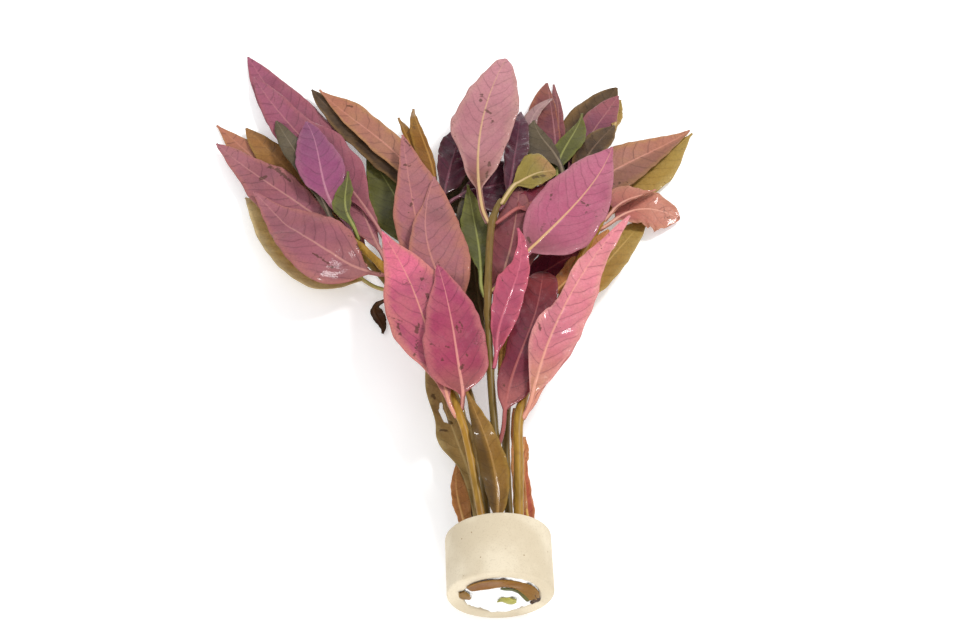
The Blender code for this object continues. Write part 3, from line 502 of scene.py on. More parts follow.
class LaidLeaf:
    """A leaf's outline in plan, with one height for each row across it."""

    def __init__(self, leaf):
        self.leaf = leaf
        self.start = leaf_start(leaf)
        chord = np.array(leaf.tip[:2]) - self.start[:2]
        self.length = np.linalg.norm(chord)
        self.along = chord / self.length
        self.stalk_part = min(leaf.stalk / self.length, MOST_STALK_PART)
        broad = max(leaf.half) >= BROAD_FROM
        blade_rows = BROAD_ROWS if broad else NARROW_ROWS
        self.rows = np.array([self.stalk_part * r for r in STALK_ROWS]
                             + [self.stalk_part + (1 - self.stalk_part) * r for r in blade_rows])
        self.columns = np.array(BROAD_COLUMNS if broad else NARROW_COLUMNS)
        self.heights = self.start[2] + (leaf.tip[2] - self.start[2]) * self.rows
        self.t, self.v = np.meshgrid(self.rows, self.columns, indexing="ij")
        self.plan = self.outline(self.t, self.v)

    def blade_part(self, t):
        return np.clip((t - self.stalk_part) / (1 - self.stalk_part), 0, 1)

    def outline(self, t, v):
        """Plan position at t along the leaf and v across it, from -1 to 1."""
        leaf = self.leaf
        left = np.array([-self.along[1], self.along[0]])
        small = 0.001
        rise = sideways_bend(t + small, leaf.bend) - sideways_bend(t - small, leaf.bend)
        slope = rise / (2 * small * self.length)
        size = np.hypot(1, slope)
        part = self.blade_part(t)
        widths = [half_width(leaf, i, part) for i in (0, 1)]
        least = STALK_HALF_WIDTH + (TIP_HALF_WIDTH - STALK_HALF_WIDTH) * part
        across = v * np.maximum(np.where(v > 0, widths[0], widths[1]), least)
        bend = sideways_bend(t, leaf.bend)
        return np.stack([self.start[i] + self.along[i] * self.length * t + left[i] * bend
                         + (left[i] - self.along[i] * slope) / size * across for i in (0, 1)], -1)

    def margin_lift(self, t, v):
        part = self.blade_part(t)
        return np.where(v > 0, self.leaf.lift[0], self.leaf.lift[1]) * v ** 2 * 4 * part * (1 - part)

    def points(self):
        """The grid of the leaf's middle surface."""
        heights = self.heights[:, None] + self.margin_lift(self.t, self.v)
        return np.concatenate([self.plan, heights[..., None]], -1)


def blend_table(at, samples):
    """Weights that read samples off values given at the places in at."""
    return np.array([np.interp(samples, at, unit) for unit in np.eye(len(at))]).T


def cells_of(x, y):
    return (np.clip(((x - FIELD_MIN[0]) / CELL).astype(int), 1, FIELD_CELLS[0] - 2),
            np.clip(((y - FIELD_MIN[1]) / CELL).astype(int), 1, FIELD_CELLS[1] - 2))


def spread(field):
    """The highest value in each cell and its eight neighbours."""
    shifts = [(i, j) for i in (-1, 0, 1) for j in (-1, 0, 1)]
    return np.maximum.reduce([np.roll(field, shift, (0, 1)) for shift in shifts])


def settle(laid, all_tops, other_tops):
    """Raises the leaf's rows until it clears what lies under it, and returns its own tops."""
    across = blend_table(laid.columns, np.linspace(-1, 1, SAMPLES_ACROSS))
    lengthwise = blend_table(laid.rows, np.linspace(0, 1, SAMPLES_ALONG))
    grid = np.einsum("tr,rck,vc->tvk", lengthwise, laid.points(), across)
    cells = cells_of(grid[..., 0], grid[..., 1])
    reach = np.hypot(grid[..., 0] - laid.start[0], grid[..., 1] - laid.start[1])
    below = np.where(reach > OWN_STEM_REACH, all_tops[cells], other_tops[cells])
    for _ in range(SETTLING_STEPS):
        heights = np.einsum("tr,rc,vc->tv", lengthwise, laid.points()[..., 2], across)
        short = (below + LAYER_GAP + LEAF_THICKNESS / 2 - heights).max(axis=1)
        if short.max() < CLOSE_ENOUGH:
            break
        weight = np.where(lengthwise > 0.2, np.maximum(0.5, (lengthwise >= 0.5) * 1.0), 0)
        laid.heights += RAISED_SHARE * (weight * np.maximum(short, 0)[:, None]).max(axis=0)
        for k in range(1, len(laid.rows) - 1):
            span = laid.rows[k + 1] - laid.rows[k - 1]
            part = (laid.rows[k] - laid.rows[k - 1]) / span
            bridge = laid.heights[k - 1] * (1 - part) + laid.heights[k + 1] * part
            laid.heights[k] = max(laid.heights[k], bridge - VALLEY_DEPTH)
    return cells, heights + LEAF_THICKNESS / 2


def stem_tops(stem, field):
    """Marks the height of a stem's upper side in its own field."""
    line = np.vstack([np.linspace(a, b, 12) for a, b in zip(STEM_LINES[stem], STEM_LINES[stem][1:])])
    along = np.gradient(line[:, :2], axis=0)
    along /= np.linalg.norm(along, axis=1)[:, None] + 1e-9
    for offset in (-1.0, -0.5, 0.0, 0.5, 1.0):
        cells = cells_of(line[:, 0] - along[:, 1] * offset, line[:, 1] + along[:, 0] * offset)
        np.maximum.at(field, cells, line[:, 2] + STEM_RADII[stem])


def lay_pile():
    """Lays leaves and stems one over another, from the floor up."""
    leaf_field = np.zeros(FIELD_CELLS)
    stem_fields = {stem: np.zeros(FIELD_CELLS) for stem in STEMS}
    laid_leaves = []
    for item in PILE:
        if isinstance(item, str):
            stem_tops(item, stem_fields[item])
            continue
        laid = LaidLeaf(Leaf(*item))
        others = [stem_fields[stem] for stem in STEMS if stem != laid.leaf.stem]
        other_tops = spread(np.maximum.reduce([leaf_field] + others))
        all_tops = spread(np.maximum.reduce([leaf_field] + list(stem_fields.values())))
        cells, tops = settle(laid, all_tops, other_tops)
        if "leaf_" + laid.leaf.name in frame["nodes"]:
            np.maximum.at(leaf_field, cells, tops)
        else:
            laid.heights = np.maximum(laid.heights - STRIP_SINK, LOWEST_STRIP)
        laid_leaves.append(laid)
    return laid_leaves


def world(points):
    """Bunch millimetres to the frame's metres."""
    return np.asarray(points, float) * MM + SHIFT


def channels(code):
    """The three numbers from 0 to 255 of a hex colour."""
    return [int(code[i:i + 2], 16) for i in (0, 2, 4)]


def linear(code):
    """An sRGB hex colour as the linear values a shader takes."""
    parts = [channel / 255 for channel in channels(code)]
    return (*[p / 12.92 if p <= 0.04045 else ((p + 0.055) / 1.055) ** 2.4 for p in parts], 1.0)


def mixed(code, other, share):
    """A hex colour part of the way to another."""
    pairs = zip(channels(code), channels(other))
    return "".join("%02X" % round(a + (b - a) * share) for a, b in pairs)


def darker(code, share):
    """A hex colour multiplied towards black."""
    return "".join("%02X" % round(channel * share) for channel in channels(code))


# Materials

class Nodes:
    """A material's nodes, with one helper that adds a node with its settings and links."""

    def __init__(self, name):
        self.material = bpy.data.materials.new(name)
        self.material.use_nodes = True
        self.tree = self.material.node_tree
        self.shader = self.tree.nodes["Principled BSDF"]
        self.place = self.add("TexCoord", output="Object")

    def add(self, kind, *values, output=0, **named):
        """Adds a node and returns one of its outputs. The values go to its inputs in order, and what
        is named goes to the input of that name, with _ for a space, or in small letters is a
        setting. A kind in capitals is an operation of a Math node."""
        if kind.isupper():
            named["operation"] = kind
            kind = "Math"
        node = self.tree.nodes.new("ShaderNode" + kind)
        for key in [key for key in named if key.islower()]:
            setattr(node, key, named.pop(key))
        self.put(node, dict(enumerate(values)) | named)
        return node.outputs[output]

    def put(self, node, inputs):
        """Sets a node's inputs, or links them where the value is another node's output."""
        for key, value in inputs.items():
            socket = node.inputs[key.replace("_", " ") if isinstance(key, str) else key]
            if isinstance(value, bpy.types.NodeSocket):
                self.tree.links.new(value, socket)
            else:
                socket.default_value = value


# Settings that many nodes share: a smooth step between two values, and a mix of colours
SMOOTH = {"interpolation_type": "SMOOTHSTEP"}
COLOURS = {"data_type": "RGBA", "output": "Result"}
# A texture's scale is PER_MM divided by the size of its lumps or cells in millimetres
PER_MM = 1000


def leaf_material(name, row):
    """Thin wet leaf: midrib, side veins that arch to the tip, net veins, mottling, bruises, gloss."""
    n = Nodes(name)
    colours, veins, translucency, roughness, turn = (*row, USUAL_TURN)[:5]
    base, body, tip, margin, rib_colour = colours.split()
    vein_map = n.add("SeparateXYZ", n.add("UVMap", uv_map=VEIN_MAP)).node.outputs
    blade_map = n.add("SeparateXYZ", n.add("UVMap", uv_map=BLADE_MAP)).node.outputs
    along, across = vein_map[0], vein_map[1]
    part, side = blade_map[0], n.add("ABSOLUTE", blade_map[1])
    away = n.add("ABSOLUTE", across)
    broad = n.add("TexNoise", Vector=n.place, Scale=PER_MM / 12.0, Detail=2.0)
    close = n.add("TexNoise", Vector=n.place, Scale=PER_MM / 3.5, Detail=3.0)
    grain = n.add("TexNoise", Vector=n.place, Scale=PER_MM / 0.7, Detail=4.0)

    # Side veins that leave the midrib at a slant and curve to the tip, in units of the vein map
    wander = n.add("ADD", n.add("MULTIPLY", broad, 0.7), n.add("MULTIPLY", close, 0.12))
    lead = n.add("MULTIPLY", away, n.add("ADD", n.add("MULTIPLY", away, 0.95), 0.5))
    on_left = n.add("MULTIPLY", n.add("GREATER_THAN", across, 0.0), VEIN_OFFSET)
    phase = n.add("SUBTRACT", n.add("ADD", along, wander), lead)
    spacings = n.add("DIVIDE", phase, VEIN_SPACING / VEIN_MAP_UNIT)
    gap = n.add("PINGPONG", n.add("ADD", spacings, on_left), 0.5)
    inside = n.add("SUBTRACT", 1.0, n.add("MapRange", side, 0.8, 0.98, **SMOOTH))
    patchy = n.add("MULTIPLY", n.add("MapRange", broad, 0.35, 0.55, **SMOOTH), 0.5)
    fading = n.add("MULTIPLY", inside, n.add("ADD", patchy, 0.5))
    thin = n.add("SUBTRACT", 1.0, n.add("MapRange", gap, 0.01, 0.045, **SMOOTH))
    wide = n.add("SUBTRACT", 1.0, n.add("MapRange", gap, 0.0, 0.2, **SMOOTH))
    line = n.add("MULTIPLY", thin, fading)
    halo = n.add("MULTIPLY", wide, fading)
    mesh = n.add("TexVoronoi", Vector=n.place, Scale=PER_MM / 2.8, feature="DISTANCE_TO_EDGE")
    net = n.add("SUBTRACT", 1.0, n.add("MapRange", mesh, 0.0, 0.05, **SMOOTH))

    # The midrib thins towards the tip
    rib_width = n.add("MULTIPLY", n.add("SUBTRACT", 1.2, part), 0.058)
    off_rib = n.add("MapRange", away, n.add("MULTIPLY", rib_width, 0.4), rib_width, **SMOOTH)
    rib = n.add("SUBTRACT", 1.0, off_rib)
    rib_strength = n.add("SUBTRACT", 0.95, n.add("MULTIPLY", part, 0.65))

    # Colour along the blade, then mottling, margin, grain, veins, the fold's shade and the midrib
    out_from_base = n.add("MapRange", part, 0.02, 0.3, **SMOOTH)
    colour = n.add("Mix", Factor=out_from_base, A=linear(base), B=linear(body), **COLOURS)
    towards_tip = n.add("ADD", part, n.add("MULTIPLY", close, 0.1))
    warm = n.add("TexNoise", Vector=n.place, Scale=PER_MM / 7.0, Detail=5.0)
    cool = n.add("TexNoise", Vector=n.place, Scale=PER_MM / 16.0, Detail=3.0)
    towards_margin = n.add("ADD", side, n.add("MULTIPLY", close, 0.25))
    layers = [
        (n.add("MapRange", towards_tip, *turn, **SMOOTH), 1.0, tip),
        (n.add("MapRange", warm, 0.42, 0.66, **SMOOTH), 0.25, margin),
        (n.add("MapRange", cool, 0.5, 0.75, **SMOOTH), 0.45, darker(body, 0.72)),
        (n.add("MapRange", towards_margin, 0.75, 1.1, **SMOOTH), 0.75, margin),
        (n.add("MapRange", grain, 0.4, 0.7, **SMOOTH), 0.22, darker(body, 0.7)),
        (net, 0.14, darker(body, 0.6)),
        (halo, 0.3 * veins, darker(body, 0.7)),
        (line, veins * 0.85, darker(body, 0.5)),
        (n.add("Attribute", attribute_name="shade", output="Fac"), 1.0, darker(base, 0.5)),
        (rib, rib_strength, rib_colour),
    ]
    for where, strength, code in layers:
        share = n.add("MULTIPLY", where, strength)
        colour = n.add("Mix", Factor=share, A=colour, B=linear(code), **COLOURS)

    # Bruises at their places, with frayed edges
    fray = n.add("TexNoise", Vector=n.place, Scale=PER_MM / 1.4, Detail=6.0)
    fray = n.add("MULTIPLY", n.add("SUBTRACT", fray, 0.5), 2.6)
    ragged = n.add("ADD", n.add("Attribute", attribute_name="bruise", output="Fac"), fray)
    bruised = n.add("MULTIPLY", n.add("MapRange", ragged, -0.12, 0.3, **SMOOTH), 0.7)

    # Fine scratches, in a few patches
    crack = n.add("TexNoise", Vector=n.place, Scale=PER_MM / 4.5, Detail=3.0)
    crack = n.add("ABSOLUTE", n.add("SUBTRACT", crack, 0.5))
    crack = n.add("SUBTRACT", 1.0, n.add("MapRange", crack, 0.003, 0.012, **SMOOTH))
    patches = n.add("TexNoise", Vector=n.place, Scale=PER_MM / 9.0, Detail=2.0)
    scratch = n.add("MULTIPLY", crack, n.add("MapRange", patches, 0.6, 0.66, **SMOOTH))

    # Specks in the middle of a few cells
    dots = n.add("TexVoronoi", Vector=n.place, Scale=PER_MM / 3.4)
    rare = n.add("GREATER_THAN", n.add("SeparateColor", dots.node.outputs["Color"]), 0.88)
    speck = n.add("SUBTRACT", 1.0, n.add("MapRange", dots, 0.05, 0.1, **SMOOTH))
    speck = n.add("MULTIPLY", speck, rare)
    small = n.add("MAXIMUM", n.add("MULTIPLY", scratch, 0.6), n.add("MULTIPLY", speck, 0.7))
    damage = n.add("MAXIMUM", bruised, small)
    colour = n.add("Mix", Factor=damage, A=colour, B=linear("46301C"), **COLOURS)

    # Relief, from veins down to grain
    relief = n.add("SUBTRACT", n.add("MULTIPLY", net, 0.15), n.add("MULTIPLY", line, 0.5))
    dimples = n.add("TexNoise", Vector=n.place, Scale=PER_MM / 1.7, Detail=2.0)
    normal = n.add("Bump", Height=relief, Strength=0.6, Distance=0.2 * MM)
    for height, strength, depth in ((close, 0.6, 0.55), (dimples, 0.55, 0.35), (grain, 0.25, 0.1)):
        normal = n.add("Bump", Height=height, Strength=strength, Distance=depth * MM, Normal=normal)

    # A wet coat in patches
    wet = n.add("TexNoise", Vector=n.place, Scale=PER_MM / 9.0, Detail=3.0)
    wet = n.add("MapRange", wet, 0.4, 0.62, **SMOOTH)
    n.put(n.shader, {
        "Base Color": colour, "Normal": normal,
        "Roughness": n.add("MapRange", Value=wet, To_Min=roughness + 0.2, To_Max=roughness),
        "Coat Weight": n.add("MULTIPLY", wet, 0.8 - roughness),
        "Coat Roughness": 0.07, "Specular IOR Level": 0.2})

    # Light that comes through the blade, but not through the midrib
    light = linear(mixed(margin, tip, 0.5))
    glow = n.add("Mix", Factor=n.add("MULTIPLY", line, 0.5), A=light, B=linear(body), **COLOURS)
    glow = n.add("Mix", Factor=damage, A=glow, B=linear("3E2C1E"), **COLOURS)
    through = n.add("BsdfTranslucent", Color=glow, Normal=normal)
    share = n.add("MULTIPLY", n.add("SUBTRACT", 1.0, rib), translucency)
    leaf = n.add("MixShader", share, n.shader.outputs[0], through)
    n.put(n.tree.nodes["Material Output"], {"Surface": leaf})
    return n.material


def ceramic_material():
    """Unglazed cream ceramic with fine sand grain, small pits and a few brown flecks."""
    n = Nodes("Ceramic")
    cloud = n.add("TexNoise", Vector=n.place, Scale=PER_MM / 12.0, Detail=4.0)
    cloud = n.add("MapRange", cloud, 0.35, 0.7, **SMOOTH)
    colour = n.add("Mix", Factor=cloud, A=linear("C4B69C"), B=linear("D4C8B0"), **COLOURS)
    grain = n.add("TexNoise", Vector=n.place, Scale=PER_MM / 0.5, Detail=4.0)
    sand = n.add("MULTIPLY", n.add("MapRange", grain, 0.52, 0.68, **SMOOTH), 0.3)
    colour = n.add("Mix", Factor=sand, A=colour, B=linear("AC9C82"), **COLOURS)
    dots = n.add("TexVoronoi", Vector=n.place, Scale=PER_MM / 2.6)
    chosen = n.add("GREATER_THAN", n.add("SeparateColor", dots.node.outputs["Color"]), 0.8)
    fleck = n.add("SUBTRACT", 1.0, n.add("MapRange", dots, 0.05, 0.12, **SMOOTH))
    fleck = n.add("MULTIPLY", n.add("MULTIPLY", fleck, chosen), 0.8)
    colour = n.add("Mix", Factor=fleck, A=colour, B=linear("7A5632"), **COLOURS)
    pits = n.add("TexVoronoi", Vector=n.place, Scale=PER_MM / 0.9)
    pits = n.add("MapRange", pits, 0.05, 0.35, **SMOOTH)
    normal = n.add("Bump", Height=pits, Strength=0.35, Distance=0.12 * MM)
    normal = n.add("Bump", Height=grain, Strength=0.5, Distance=0.12 * MM, Normal=normal)
    n.put(n.shader, {"Base Color": colour, "Normal": normal, "Roughness": 0.85})
    return n.material


def wool_material():
    """Bright white fibre with soft shadows between the tufts."""
    n = Nodes("Wool")
    tuft = n.add("TexNoise", Vector=n.place, Scale=PER_MM / 1.6, Detail=5.0)
    tuft = n.add("MapRange", tuft, 0.3, 0.6, **SMOOTH)
    white = n.add("Mix", Factor=tuft, A=linear("F4F4F2"), B=linear("FCFCFB"), **COLOURS)
    drawn = n.add("VectorMath", n.place, (1.0, 0.3, 1.6), operation="MULTIPLY")
    fibre = n.add("TexNoise", Vector=drawn, Scale=4200.0, Detail=3.0, Distortion=2.0)
    normal = n.add("Bump", Height=fibre, Strength=0.7, Distance=0.25 * MM)
    n.put(n.shader, {"Base Color": white, "Normal": normal, "Roughness": 0.95, "Sheen Weight": 0.4})
    return n.material


def stem_material(name, main, dull, light):
    """Smooth wet stem: tan with a green and red cast, faint streaks along it."""
    n = Nodes(name)
    cast = n.add("TexNoise", Vector=n.place, Scale=PER_MM / 22.0, Detail=2.0)
    cast = n.add("MapRange", cast, 0.35, 0.65, **SMOOTH)
    colour = n.add("Mix", Factor=cast, A=linear(main), B=linear(dull), **COLOURS)
    drawn = n.add("VectorMath", n.place, (1.0, 0.12, 1.0), operation="MULTIPLY")
    streak = n.add("TexNoise", Vector=drawn, Scale=PER_MM / 0.8, Detail=3.0)
    pale = n.add("MULTIPLY", n.add("MapRange", streak, 0.4, 0.7, **SMOOTH), 0.5)
    colour = n.add("Mix", Factor=pale, A=colour, B=linear(light), **COLOURS)
    patch = n.add("TexNoise", Vector=n.place, Scale=PER_MM / 5.0, Detail=3.0)
    patch = n.add("MULTIPLY", n.add("MapRange", patch, 0.55, 0.75, **SMOOTH), 0.35)
    colour = n.add("Mix", Factor=patch, A=colour, B=linear("6A3A18"), **COLOURS)
    normal = n.add("Bump", Height=streak, Strength=0.4, Distance=0.15 * MM)
    n.put(n.shader, {
        "Base Color": colour, "Normal": normal, "Roughness": 0.42, "Specular IOR Level": 0.3})
    return n.material


def floor_material():
    """Even pale surface that glows a little, so that it stays near white under the leaves."""
    n = Nodes("Floor")
    cloud = n.add("TexNoise", Vector=n.place, Scale=PER_MM / 40.0, Detail=2.0)
    cloud = n.add("MapRange", cloud, 0.4, 0.6, **SMOOTH)
    pale = n.add("Mix", Factor=cloud, A=linear("EEEEEE"), B=linear("F2F2F2"), **COLOURS)
    n.put(n.shader, {
        "Base Color": pale, "Roughness": 0.9, "Emission Color": (1.0, 1.0, 1.0, 1.0),
        "Emission Strength": FLOOR_GLOW})
    return n.material


# Pieces

def add_to_scene(made):
    bpy.context.scene.collection.objects.link(made)
    return made


def finish_piece(piece, material, replaced):
    add_to_scene(piece).data.materials.append(material)
    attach(piece, "root")
    if replaced:
        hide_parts(replaced)


def mesh_piece(name, shape):
    """An object with smooth faces from a bmesh, which it frees."""
    mesh = bpy.data.meshes.new(name)
    shape.to_mesh(mesh)
    shape.free()
    for polygon in mesh.polygons:
        polygon.use_smooth = True
    return bpy.data.objects.new(name, mesh)


def rounded_heights(laid, t):
    """The laid heights with the corners between rows smoothed."""
    fine = np.linspace(0, 1, CORNER_SAMPLES)
    heights = np.interp(fine, laid.rows, laid.heights)
    window = np.hanning(2 * CORNER_REACH + 1)
    window /= window.sum()
    before = 2 * heights[0] - heights[CORNER_REACH:0:-1]
    after = 2 * heights[-1] - heights[-2:-2 - CORNER_REACH:-1]
    padded = np.concatenate([before, heights, after])
    return np.interp(t, fine, np.convolve(padded, window, "valid"))


def stem_join(laid, t):
    """The last stretch of a stalk runs down along its stem and in to its side."""
    if laid.leaf.stem is None:
        return np.zeros(t.shape + (3,))
    centre, direction = on_stem(laid.leaf.stem, laid.leaf.at)
    inward = centre - np.array([*laid.start[:2], laid.heights[0]])
    near = np.clip(1 - t * laid.length / JOIN_LENGTH, 0, 1)[..., None]
    return 0.6 * near ** 2 * inward - 1.6 * near ** 1.5 * direction


def leaf_shape(laid, seed):
    """The blade's grid in bunch millimetres, with waves, puckers and a raised midrib."""
    leaf = laid.leaf
    fineness = FINE_NEAR_HOLES if leaf.name in HOLES else 1
    rows = int(np.clip(laid.length / ROW_SPACING, *ROW_LIMITS)) * fineness
    columns = (BROAD_ACROSS if max(leaf.half) >= FINE_FROM else NARROW_ACROSS) * fineness
    t, x = np.meshgrid(np.linspace(0, 1, rows + 1), np.linspace(-1, 1, columns + 1), indexing="ij")
    v = np.sign(x) * np.abs(x) ** 1.25
    part = laid.blade_part(t)

    # In plan, with the stalk narrowed
    middle = laid.outline(t, v * 0)
    stalk_share = THICK_STALKS.get(leaf.name, USUAL_STALK)
    slim = stalk_share + (1 - stalk_share) * np.clip(part / 0.06, 0, 1)
    flat = middle + (laid.outline(t, v) - middle) * slim[..., None]
    away = np.linalg.norm(flat - middle, axis=-1) * np.sign(v)
    along = part * (laid.length - leaf.stalk)

    # Waves along the margin, puckers between the side veins, and small nibbles out of the edge
    generator = np.random.default_rng(seed)
    waves, shift = generator.uniform(2.2, 4.2), generator.uniform(0, CYCLE, 4)
    open_part = np.sin(np.pi * part) ** 0.5
    edge = np.abs(v) ** 2.5 * open_part
    wave = np.sin(waves * CYCLE * part + shift[0] + np.sign(v) * 1.3)
    wave = wave + 0.5 * np.sin(2.3 * waves * CYCLE * part + shift[3])
    lead = 0.75 * np.abs(away) + 0.055 * away ** 2
    quilt = np.sin(CYCLE * ((along - lead) / VEIN_SPACING + np.where(v > 0, VEIN_OFFSET, 0)))
    heights = rounded_heights(laid, t) + laid.margin_lift(t, v)
    heights += RUFFLES.get(leaf.name, USUAL_RUFFLE) * edge * wave
    pucker = PUCKERS.get(leaf.name, USUAL_PUCKER)
    heights += pucker * quilt * np.clip(np.abs(away) / 3, 0, 1) * open_part
    nibble = 0.14 * np.sin(23 * part + shift[1]) + 0.1 * np.sin(51 * part + shift[2])
    flat = flat + (flat - middle) * (nibble * edge / np.maximum(np.abs(away), 2))[..., None]
    points = np.concatenate([flat, heights[..., None]], -1) + stem_join(laid, t)

    # Round stalk, raised midrib and thin margin
    stalk = STALK_THICKNESS * np.sqrt(np.clip(1 - v ** 2, 0.02, 1)) * np.clip(1 - part * 9, 0, 1)
    rib = (0.9 - 0.75 * part) * np.exp(-(away / 0.5) ** 2)
    thickness = np.maximum(np.maximum(stalk, rib), BLADE_THICKNESS)
    thickness *= np.where((np.abs(x) > 0.99) & (part > 0.02), 0.5, 1)
    return points, part, v, away, along, thickness


def stroke_depth(strokes, along, away):
    """How many mm inside the nearest listed stroke each point is, down to -2 well outside."""
    depth = np.full_like(along, -2.0)
    for along_0, away_0, along_1, away_1, half in strokes:
        run = np.array([along_1 - along_0, away_1 - away_0])
        share = ((along - along_0) * run[0] + (away - away_0) * run[1]) / max(run @ run, 0.01)
        share = np.clip(share, 0, 1)
        far = np.hypot(along - along_0 - share * run[0], away - away_0 - share * run[1])
        depth = np.maximum(depth, half - far)
    return depth


def blade_piece(name, points, part, v, away, along, thickness, shaded=0.0):
    """A thin blade from a grid of points, with its two maps, its bruises and its holes."""
    leaf_name = name.removeprefix("leaf_")
    bruised = stroke_depth(BRUISES.get(leaf_name, ()), along, away)
    torn = stroke_depth(HOLES.get(leaf_name, ()), along, away)
    shaded = np.broadcast_to(shaded, part.shape)
    rows, columns = part.shape
    grid = bmesh.new()
    bmesh.ops.create_grid(grid, x_segments=rows - 1, y_segments=columns - 1, size=0.5)
    vein_map = grid.loops.layers.uv.new(VEIN_MAP)
    blade_map = grid.loops.layers.uv.new(BLADE_MAP)
    bruise = grid.verts.layers.float.new("bruise")
    shade = grid.verts.layers.float.new("shade")
    deform = grid.verts.layers.deform.verify()
    placed = world(points)
    index = {}
    for vert in grid.verts:
        at = (round((vert.co.x + 0.5) * (rows - 1)), round((vert.co.y + 0.5) * (columns - 1)))
        index[vert] = at
        vert.co = placed[at]
        vert[bruise] = bruised[at]
        vert[shade] = shaded[at]
        vert[deform][0] = thickness[at] / STALK_THICKNESS
    for face in grid.faces:
        for loop in face.loops:
            at = index[loop.vert]
            loop[vein_map].uv = (along[at] / VEIN_MAP_UNIT, away[at] / VEIN_MAP_UNIT)
            loop[blade_map].uv = (part[at], v[at])
    bmesh.ops.delete(grid, geom=[vert for vert in grid.verts if torn[index[vert]] > 0], context="VERTS")
    leaf = mesh_piece(name, grid)
    leaf.vertex_groups.new(name="thickness")
    thick = leaf.modifiers.new("Thickness", "SOLIDIFY")
    thick.thickness = STALK_THICKNESS * MM
    thick.offset = 0
    thick.vertex_group = "thickness"
    return leaf


def make_leaf(laid, material, seed):
    points, part, v, away, along, thickness = leaf_shape(laid, seed)
    side, dark = FOLDS.get(laid.leaf.name, (1, 0.0))
    shaded = dark * np.clip(side * away / 1.5, 0, 1)
    name = "leaf_" + laid.leaf.name
    leaf = blade_piece(name, points, part, v, away, along, thickness, shaded)
    if name in frame["nodes"]:
        finish_piece(leaf, material, name)
    else:
        finish_piece(leaf, material, None)


def make_stem(stem, material):
    """A stem as a swept round, swollen in a ring where leaves grow from it."""
    line = smooth_line(STEMS[stem], FINE_STEM_STEPS)
    curve = bpy.data.curves.new("stem_" + stem, "CURVE")
    curve.dimensions = "3D"
    curve.bevel_depth = STEM_RADII[stem] * MM
    curve.bevel_resolution = 7
    curve.use_fill_caps = True
    spline = curve.splines.new("POLY")
    spline.points.add(len(line) - 1)
    lengths = run_lengths(line)
    swelling = np.clip(1.08 - 0.0012 * lengths, 0.85, 1.1)
    for leaf in [Leaf(*item) for item in PILE if not isinstance(item, str)]:
        if leaf.stem == stem:
            at = np.interp(leaf.at, np.arange(len(line)) / FINE_STEM_STEPS, lengths)
            swelling = np.maximum(swelling, 1 + 0.22 * np.exp(-((lengths - at) / 2.2) ** 2))
    swelling *= 0.4 + 0.6 * np.clip((lengths[-1] - lengths) / 9, 0, 1) ** 0.6
    for point, place, radius in zip(spline.points, world(line), swelling):
        point.co = (*place, 1.0)
        point.radius = radius
    finish_piece(bpy.data.objects.new("stem_" + stem, curve), material, "stem_" + stem)


def ring_profile():
    """Closed cross-section as (radius, height), with rounded corners."""
    corners = [
        (RING_OUTER_RADIUS, RING_LENGTH, RING_OUTER_ROUNDING, -1, -1, 90),
        (RING_OUTER_RADIUS, 0, RING_OUTER_ROUNDING, -1, 1, 0),
        (RING_BORE_RADIUS, 0, RING_BORE_ROUNDING, 1, 1, -90),
        (RING_BORE_RADIUS, RING_LENGTH, RING_BORE_ROUNDING, 1, -1, -180),
    ]
    profile = []
    for radius, height, rounding, inward, upward, start in corners:
        centre = (radius + inward * rounding, height + upward * rounding)
        for k in range(CORNER_POINTS):
            angle = math.radians(start - 90 * k / (CORNER_POINTS - 1))
            around = (rounding * math.cos(angle), rounding * math.sin(angle))
            profile.append((centre[0] + around[0], centre[1] + around[1]))
    return profile


def make_ring(material):
    """The profile spun round its axis, with slightly worn faces."""
    shape = bmesh.new()
    corners = [shape.verts.new((radius, height, 0)) for radius, height in ring_profile()]
    edges = [shape.edges.new(pair) for pair in zip(corners, corners[1:] + corners[:1])]
    long_edges = [edge for edge in edges if edge.calc_length() > 2]
    bmesh.ops.subdivide_edges(shape, edges=long_edges, cuts=RING_CUTS)
    bmesh.ops.spin(shape, geom=shape.verts[:] + shape.edges[:], axis=(0, 1, 0), cent=(0, 0, 0),
                   angle=math.tau, steps=RING_STEPS_AROUND, use_merge=True)
    bmesh.ops.remove_doubles(shape, verts=shape.verts, dist=0.001)
    bmesh.ops.recalc_face_normals(shape, faces=shape.faces)
    for vert in shape.verts:
        radius = math.hypot(vert.co.x, vert.co.z)
        lump = noise.noise(vert.co * 0.3) * 0.12 + noise.noise(vert.co * 1.3) * 0.05
        inward = -abs(lump) if radius > RING_MIDDLE_RADIUS else abs(lump)
        vert.co.x *= 1 + inward / radius
        vert.co.z *= 1 + inward / radius
        vert.co = world((vert.co.x + RING_CENTRE[0], vert.co.y + RING_END_Y, vert.co.z + RING_CENTRE[1]))
    finish_piece(mesh_piece("ceramic_ring", shape), material, "ceramic_ring")


